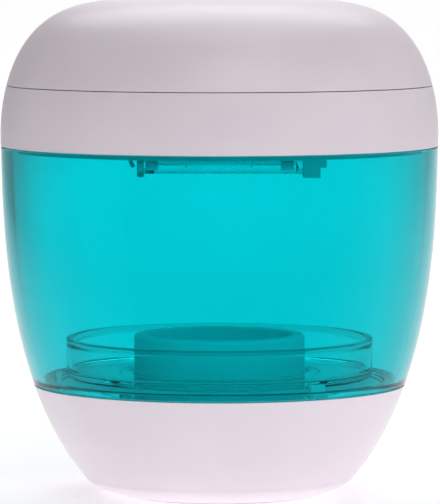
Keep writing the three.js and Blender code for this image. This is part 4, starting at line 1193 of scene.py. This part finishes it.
def lamp_clip(x):
    inner = lamp_radius + fit
    outer = inner + clip_sheet
    start, end = clip_mouth - quarter_turn, 3 * quarter_turn - clip_mouth
    loop = [*arc(0, lamp_z, outer, start, end, 36), *arc(0, lamp_z, inner, end, start, 36)]
    clip = slab(loop, x - clip_half, x + clip_half, 0.1)
    half = clip_half - stem_step
    stem = block(x - half, x + half, -stem_half, stem_half, lamp_z + inner + 0.2 * mm, hung_high, 0.12)
    return fuse(clip, stem)


for end, x in (("left", -clip_x), ("right", clip_x)):
    finish(lamp_clip(x), f"lamp_clip_{end}_spring", drawn_steel, "lid", "steel", f"lamp_clip_{end}")

# %% [markdown]
# The case is held together by eleven screws of five kinds. One screw is made by turning and by cutting
# its cross drive. A second Geometry Nodes tree then sets copies of it on points, each turned at random.
# The points are the object's own, so the same tree serves the three screws of a circle and the two of a
# board. A table holds, for each set, its nodes, its head's radius and height, its shank's radius, and
# whether the head is up.

# %% A Geometry Nodes tree that sets screws on points
def screw_tree():
    inputs = {"Geometry": "Geometry", "Screw": "Object", "Material": "Material"}
    tree = new_tree("screws_on_points", "GeometryNodeTree", inputs, {"Geometry": "Geometry"})
    given = tree.nodes.new("NodeGroupInput")
    points = add_node(tree, "GeometryNodeMeshToPoints", Mesh=given.outputs["Geometry"])
    shape = add_node(tree, "GeometryNodeObjectInfo", Object=given.outputs["Screw"])
    spread = add_node(tree, "FunctionNodeRandomValue", {"data_type": "FLOAT"}, Seed=7, i2=0.0,
                      i3=quarter_turn)
    turn = add_node(tree, "ShaderNodeCombineXYZ", Z=spread.outputs[1])
    copies = add_node(tree, "GeometryNodeInstanceOnPoints", Points=points.outputs[0],
                      Instance=shape.outputs["Geometry"], Rotation=turn.outputs[0])
    end_tree(tree, copies.outputs[0], given.outputs["Material"])
    return tree


screws_on_points = screw_tree()
thread_pitch = 0.6 * mm
core_share = 0.82
drive_half, drive_depth = 0.22 * mm, 0.45 * mm


def screw_shape(head, head_height, shank, length, head_up):
    """A screw with its head's face at z = 0: a domed head, a cross drive and a threaded shank."""
    turns = int((length - head_height) / thread_pitch) - 1
    thread = []
    for i in range(turns):
        z = head_height + 0.4 * mm + i * thread_pitch
        thread += [(core_share * shank, z), (shank, z + 0.5 * thread_pitch)]
    body = turned("screw", [
        (0, 0), (head, 0, 0.35), (head, head_height, 0.1), (core_share * shank, head_height), *thread,
        (core_share * shank, length - 0.3 * mm), (0.4 * shank, length), (0, length),
    ], small_flats)
    reach = 0.65 * head
    for x, y in ((reach, drive_half), (drive_half, reach)):
        cut(body, block(-x, x, -y, y, -past, drive_depth))
    if head_up:
        moved(body, Matrix.Rotation(math.pi, 4, "X"))
    return body


def screws(name, body, nodes, z, shape):
    """Sets screws at one height in the place of some nodes and makes one piece of them."""
    places = [((lowest(node) + highest(node)) / 2).to_2d() for node in nodes]
    piece = through(new_piece(name, [(x, y, z) for x, y in places]), screws_on_points, Screw=shape)
    bpy.data.objects.remove(shape)
    finish(piece, name, spun_steel, body, "steel", *nodes)


screw_rows = (
    ("deck_screws", "base", [f"deck_screw_{i}" for i in (1, 2, 3)], 2.4 * mm, 0.6 * mm, 1 * mm, False),
    ("tray_screws", "lid", [f"tray_screw_{i}" for i in (1, 2, 3)], 2.4 * mm, 1 * mm, 1 * mm, False),
    ("cradle_screw_steel", "base", ["cradle_screw"], highest("cradle_screw").x, 0.9 * mm, 1 * mm, True),
    ("board_screws", "lid", [f"board_screw_{end}" for end in ("left", "right")],
     1.8 * mm, 1 * mm, 0.7 * mm, True),
    ("button_board_screws", "lid", [f"button_board_screw_{end}" for end in ("left", "right")],
     1.8 * mm, 1 * mm, 0.7 * mm, False),
)
for name, body, nodes, head, head_height, shank, head_up in screw_rows:
    low, high = span(nodes[0], "z")
    screws(name, body, nodes, high if head_up else low,
           screw_shape(head, head_height, shank, high - low, head_up))

# %% [markdown]
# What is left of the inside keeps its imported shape, because it is plain in real life too: boards, the
# cell, the transformer, the switch, wires. Each gets the material of what it is made of.

# %% Materials for the pieces kept from the frame
kept = {
    "ballast_plate": spun_steel, "main_board": green_board, "button_board": green_board,
    "battery_cell": foil_pouch, "battery_lead_red": red_lead, "battery_lead_black": dark_moulding,
    "boost_transformer": ferrite_core, "controller_chip": dark_moulding, "usb_socket": drawn_steel,
    "tact_switch": dark_moulding, "switch_plunger": dark_moulding, "status_led": quartz_glass,
    "button_cable": amber_film, "lamp_lead_left": grey_silicone, "lamp_lead_right": grey_silicone,
}
for name, material in kept.items():
    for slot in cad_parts[name].material_slots:
        slot.material = material
print("kept from the frame:", len(kept))

# %% [markdown]
# The case stands on a pale floor that runs back to a pale backdrop, both plain diffuse white. Towards the
# left and right the white gives way to grey, because in the photo the sides of the shells and of the
# clear wall mirror something darker than the backdrop. For rays from the camera, or by way of gloss or
# glass, a little light of its own brings the stage to white, more so on the backdrop. The camera's own
# rays get the rest at the sides, where the grey isn't meant to show. The object's shadow still shows.

# %% Floor and backdrop
floor_glow, backdrop_glow, glow_rise = 0.36, 0.8, (0.45, 1.4)
# The grey that the sides fade to is painted shade, for a room that is dimmer beyond the sweep, more so on the
# left.
left_level, left_fade = 0.35, (-0.3, -0.08)
right_level, right_fade = 0.55, (0.08, 0.45)
widening, narrowest = 0.4, 0.6
side_painted_shade, side_make_up = (0.05, 0.05, 0.05, 1), 0.95


def seen_directly(tree):
    """One for rays from the camera, or from gloss or glass, and nought for those that light the object."""
    path = tree.nodes.new("ShaderNodeLightPath").outputs
    shown = calculate(tree, "MAXIMUM", path["Is Camera Ray"], path["Is Glossy Ray"])
    return calculate(tree, "MAXIMUM", shown, path["Is Transmission Ray"])


def stage_material():
    """White with sides that fade to a grey of painted shade, farther out on the floor behind than in front.
    """
    shades = (0.86, 0.86, 0.86, 1), (0.84, 0.84, 0.84, 1)
    material, tree, shader, place, skin = new_skin("studio_white", *shades, roughness=0.9, drift=0.02,
                                                   grain=1, flow=200)
    spot = add_node(tree, "ShaderNodeSeparateXYZ", Vector=place).outputs
    spread = calculate(tree, "MAXIMUM", calculate(tree, "MULTIPLY_ADD", spot["Y"], widening, 1.0), narrowest)
    aside = calculate(tree, "DIVIDE", spot["X"], spread)
    level = calculate(tree, "MULTIPLY", remap(tree, aside, *left_fade, left_level, 1.0),
                      remap(tree, aside, *right_fade, 1.0, right_level))
    glow = calculate(tree, "MULTIPLY", remap(tree, spot["Y"], *glow_rise, floor_glow, backdrop_glow), level)
    camera_ray = tree.nodes.new("ShaderNodeLightPath").outputs["Is Camera Ray"]
    made_up = calculate(tree, "MULTIPLY", camera_ray, remap(tree, level, 0.0, 1.0, side_make_up, 0.0))
    reflected = calculate(tree, "MULTIPLY", seen_directly(tree), glow)
    fill(tree, shader, {"Base Color": mix_colours(tree, level, side_painted_shade, skin["Colour"]),
                        "Specular IOR Level": 0.1, "Emission Color": white,
                        "Emission Strength": calculate(tree, "ADD", reflected, made_up)})
    return material


floor_half, floor_front, floor_back, backdrop_height, bend = 3.0, -3.0, 1.6, 3.0, 0.8
sweep = [(floor_front, 0.0)]
sweep += arc(floor_back, bend, bend, -quarter_turn, 0, 24)
sweep += [(floor_back + bend, backdrop_height)]
corners = [(x, y, z) for y, z in sweep for x in (-floor_half, floor_half)]
faces = [(2 * i, 2 * i + 1, 2 * i + 3, 2 * i + 2) for i in range(len(sweep) - 1)]
studio = new_piece("studio_sweep", corners, faces)
studio.data.materials.append(stage_material())
studio.data.shade_smooth()
print("sweep:", len(sweep), "rows")

# %% [markdown]
# Light as in a product studio: a wide soft lamp above, a stronger one behind it, one in front from the
# right, and a weaker one beside the case at the right. A light table under the case lights the bowl from
# below, as the photo's bowl is bright right down to its foot. It isn't seen by camera, gloss or glass.
# The world is white where it is seen, and adds a low even fill. The powers were fitted to the photo.

# %% Lamps and world
def aimed(thing, place, target):
    """Puts a lamp or camera at a place, with its face to a target."""
    thing.location = place
    thing.rotation_euler = (Vector(target) - thing.location).to_track_quat("-Z", "Y").to_euler()
    return in_scene(thing)


def soft_lamp(name, place, target, width, height, power):
    data = bpy.data.lights.new(name, "AREA")
    data.shape = "RECTANGLE"
    data.size, data.size_y = width, height
    data.energy = power
    return aimed(bpy.data.objects.new(name, data), place, target)


case_middle = (0, 0, total_height / 2)
softboxes = {
    "top_softbox": ((0.05, 0.1, 1.2), 0.9, 0.9, 4.1), "back_softbox": ((0, 0.8, 1.0), 1.2, 0.8, 6.5),
    "front_softbox": ((0.25, -1.1, 1.0), 1.0, 0.8, 5.15), "right_softbox": ((1.4, -0.4, 0.5), 0.9, 1.0, 2.3),
}
for name, (place, width, height, power) in softboxes.items():
    soft_lamp(name, place, case_middle, width, height, power)
light_table = soft_lamp("light_table", (0, 0, 0.2 * mm), (0, 0, 1), 0.8, 0.8, 1.42)
for ray in ("camera", "glossy", "transmission"):
    setattr(light_table, f"visible_{ray}", False)
world = bpy.data.worlds.new("studio_air")
world.use_nodes = True
air, air_fill = world.node_tree, 0.13
strength = remap(air, seen_directly(air), 0.0, 1.0, air_fill, 1.0)
fill(air, air.nodes["Background"], {"Color": white, "Strength": strength})
bpy.context.scene.world = world
bpy.context.scene.view_settings.view_transform = "Standard"
print("lamps:", len(bpy.data.lights))

# %% [markdown]
# The photograph was taken with a long lens from a little above the lid. Its height comes from how open
# the window's upper and lower edges look, and the distance from how much wider the near edge is. Lens
# and film are in millimetres, as Blender counts them.

# %% Camera
camera_distance, camera_height, aim_height, side_step = 746 * mm, 98 * mm, 42.4 * mm, 0.09 * mm
lens_length, film_width = 303.5, 36
camera_data = bpy.data.cameras.new("camera")
camera_data.lens, camera_data.sensor_width = lens_length, film_width
camera = bpy.data.objects.new("camera", camera_data)
aimed(camera, (side_step, -camera_distance, camera_height), (side_step, 0, aim_height))
bpy.context.scene.camera = camera
tilt = math.atan2(camera_height - aim_height, camera_distance)
print("camera tilt:", round(math.degrees(tilt), 2), "degrees")
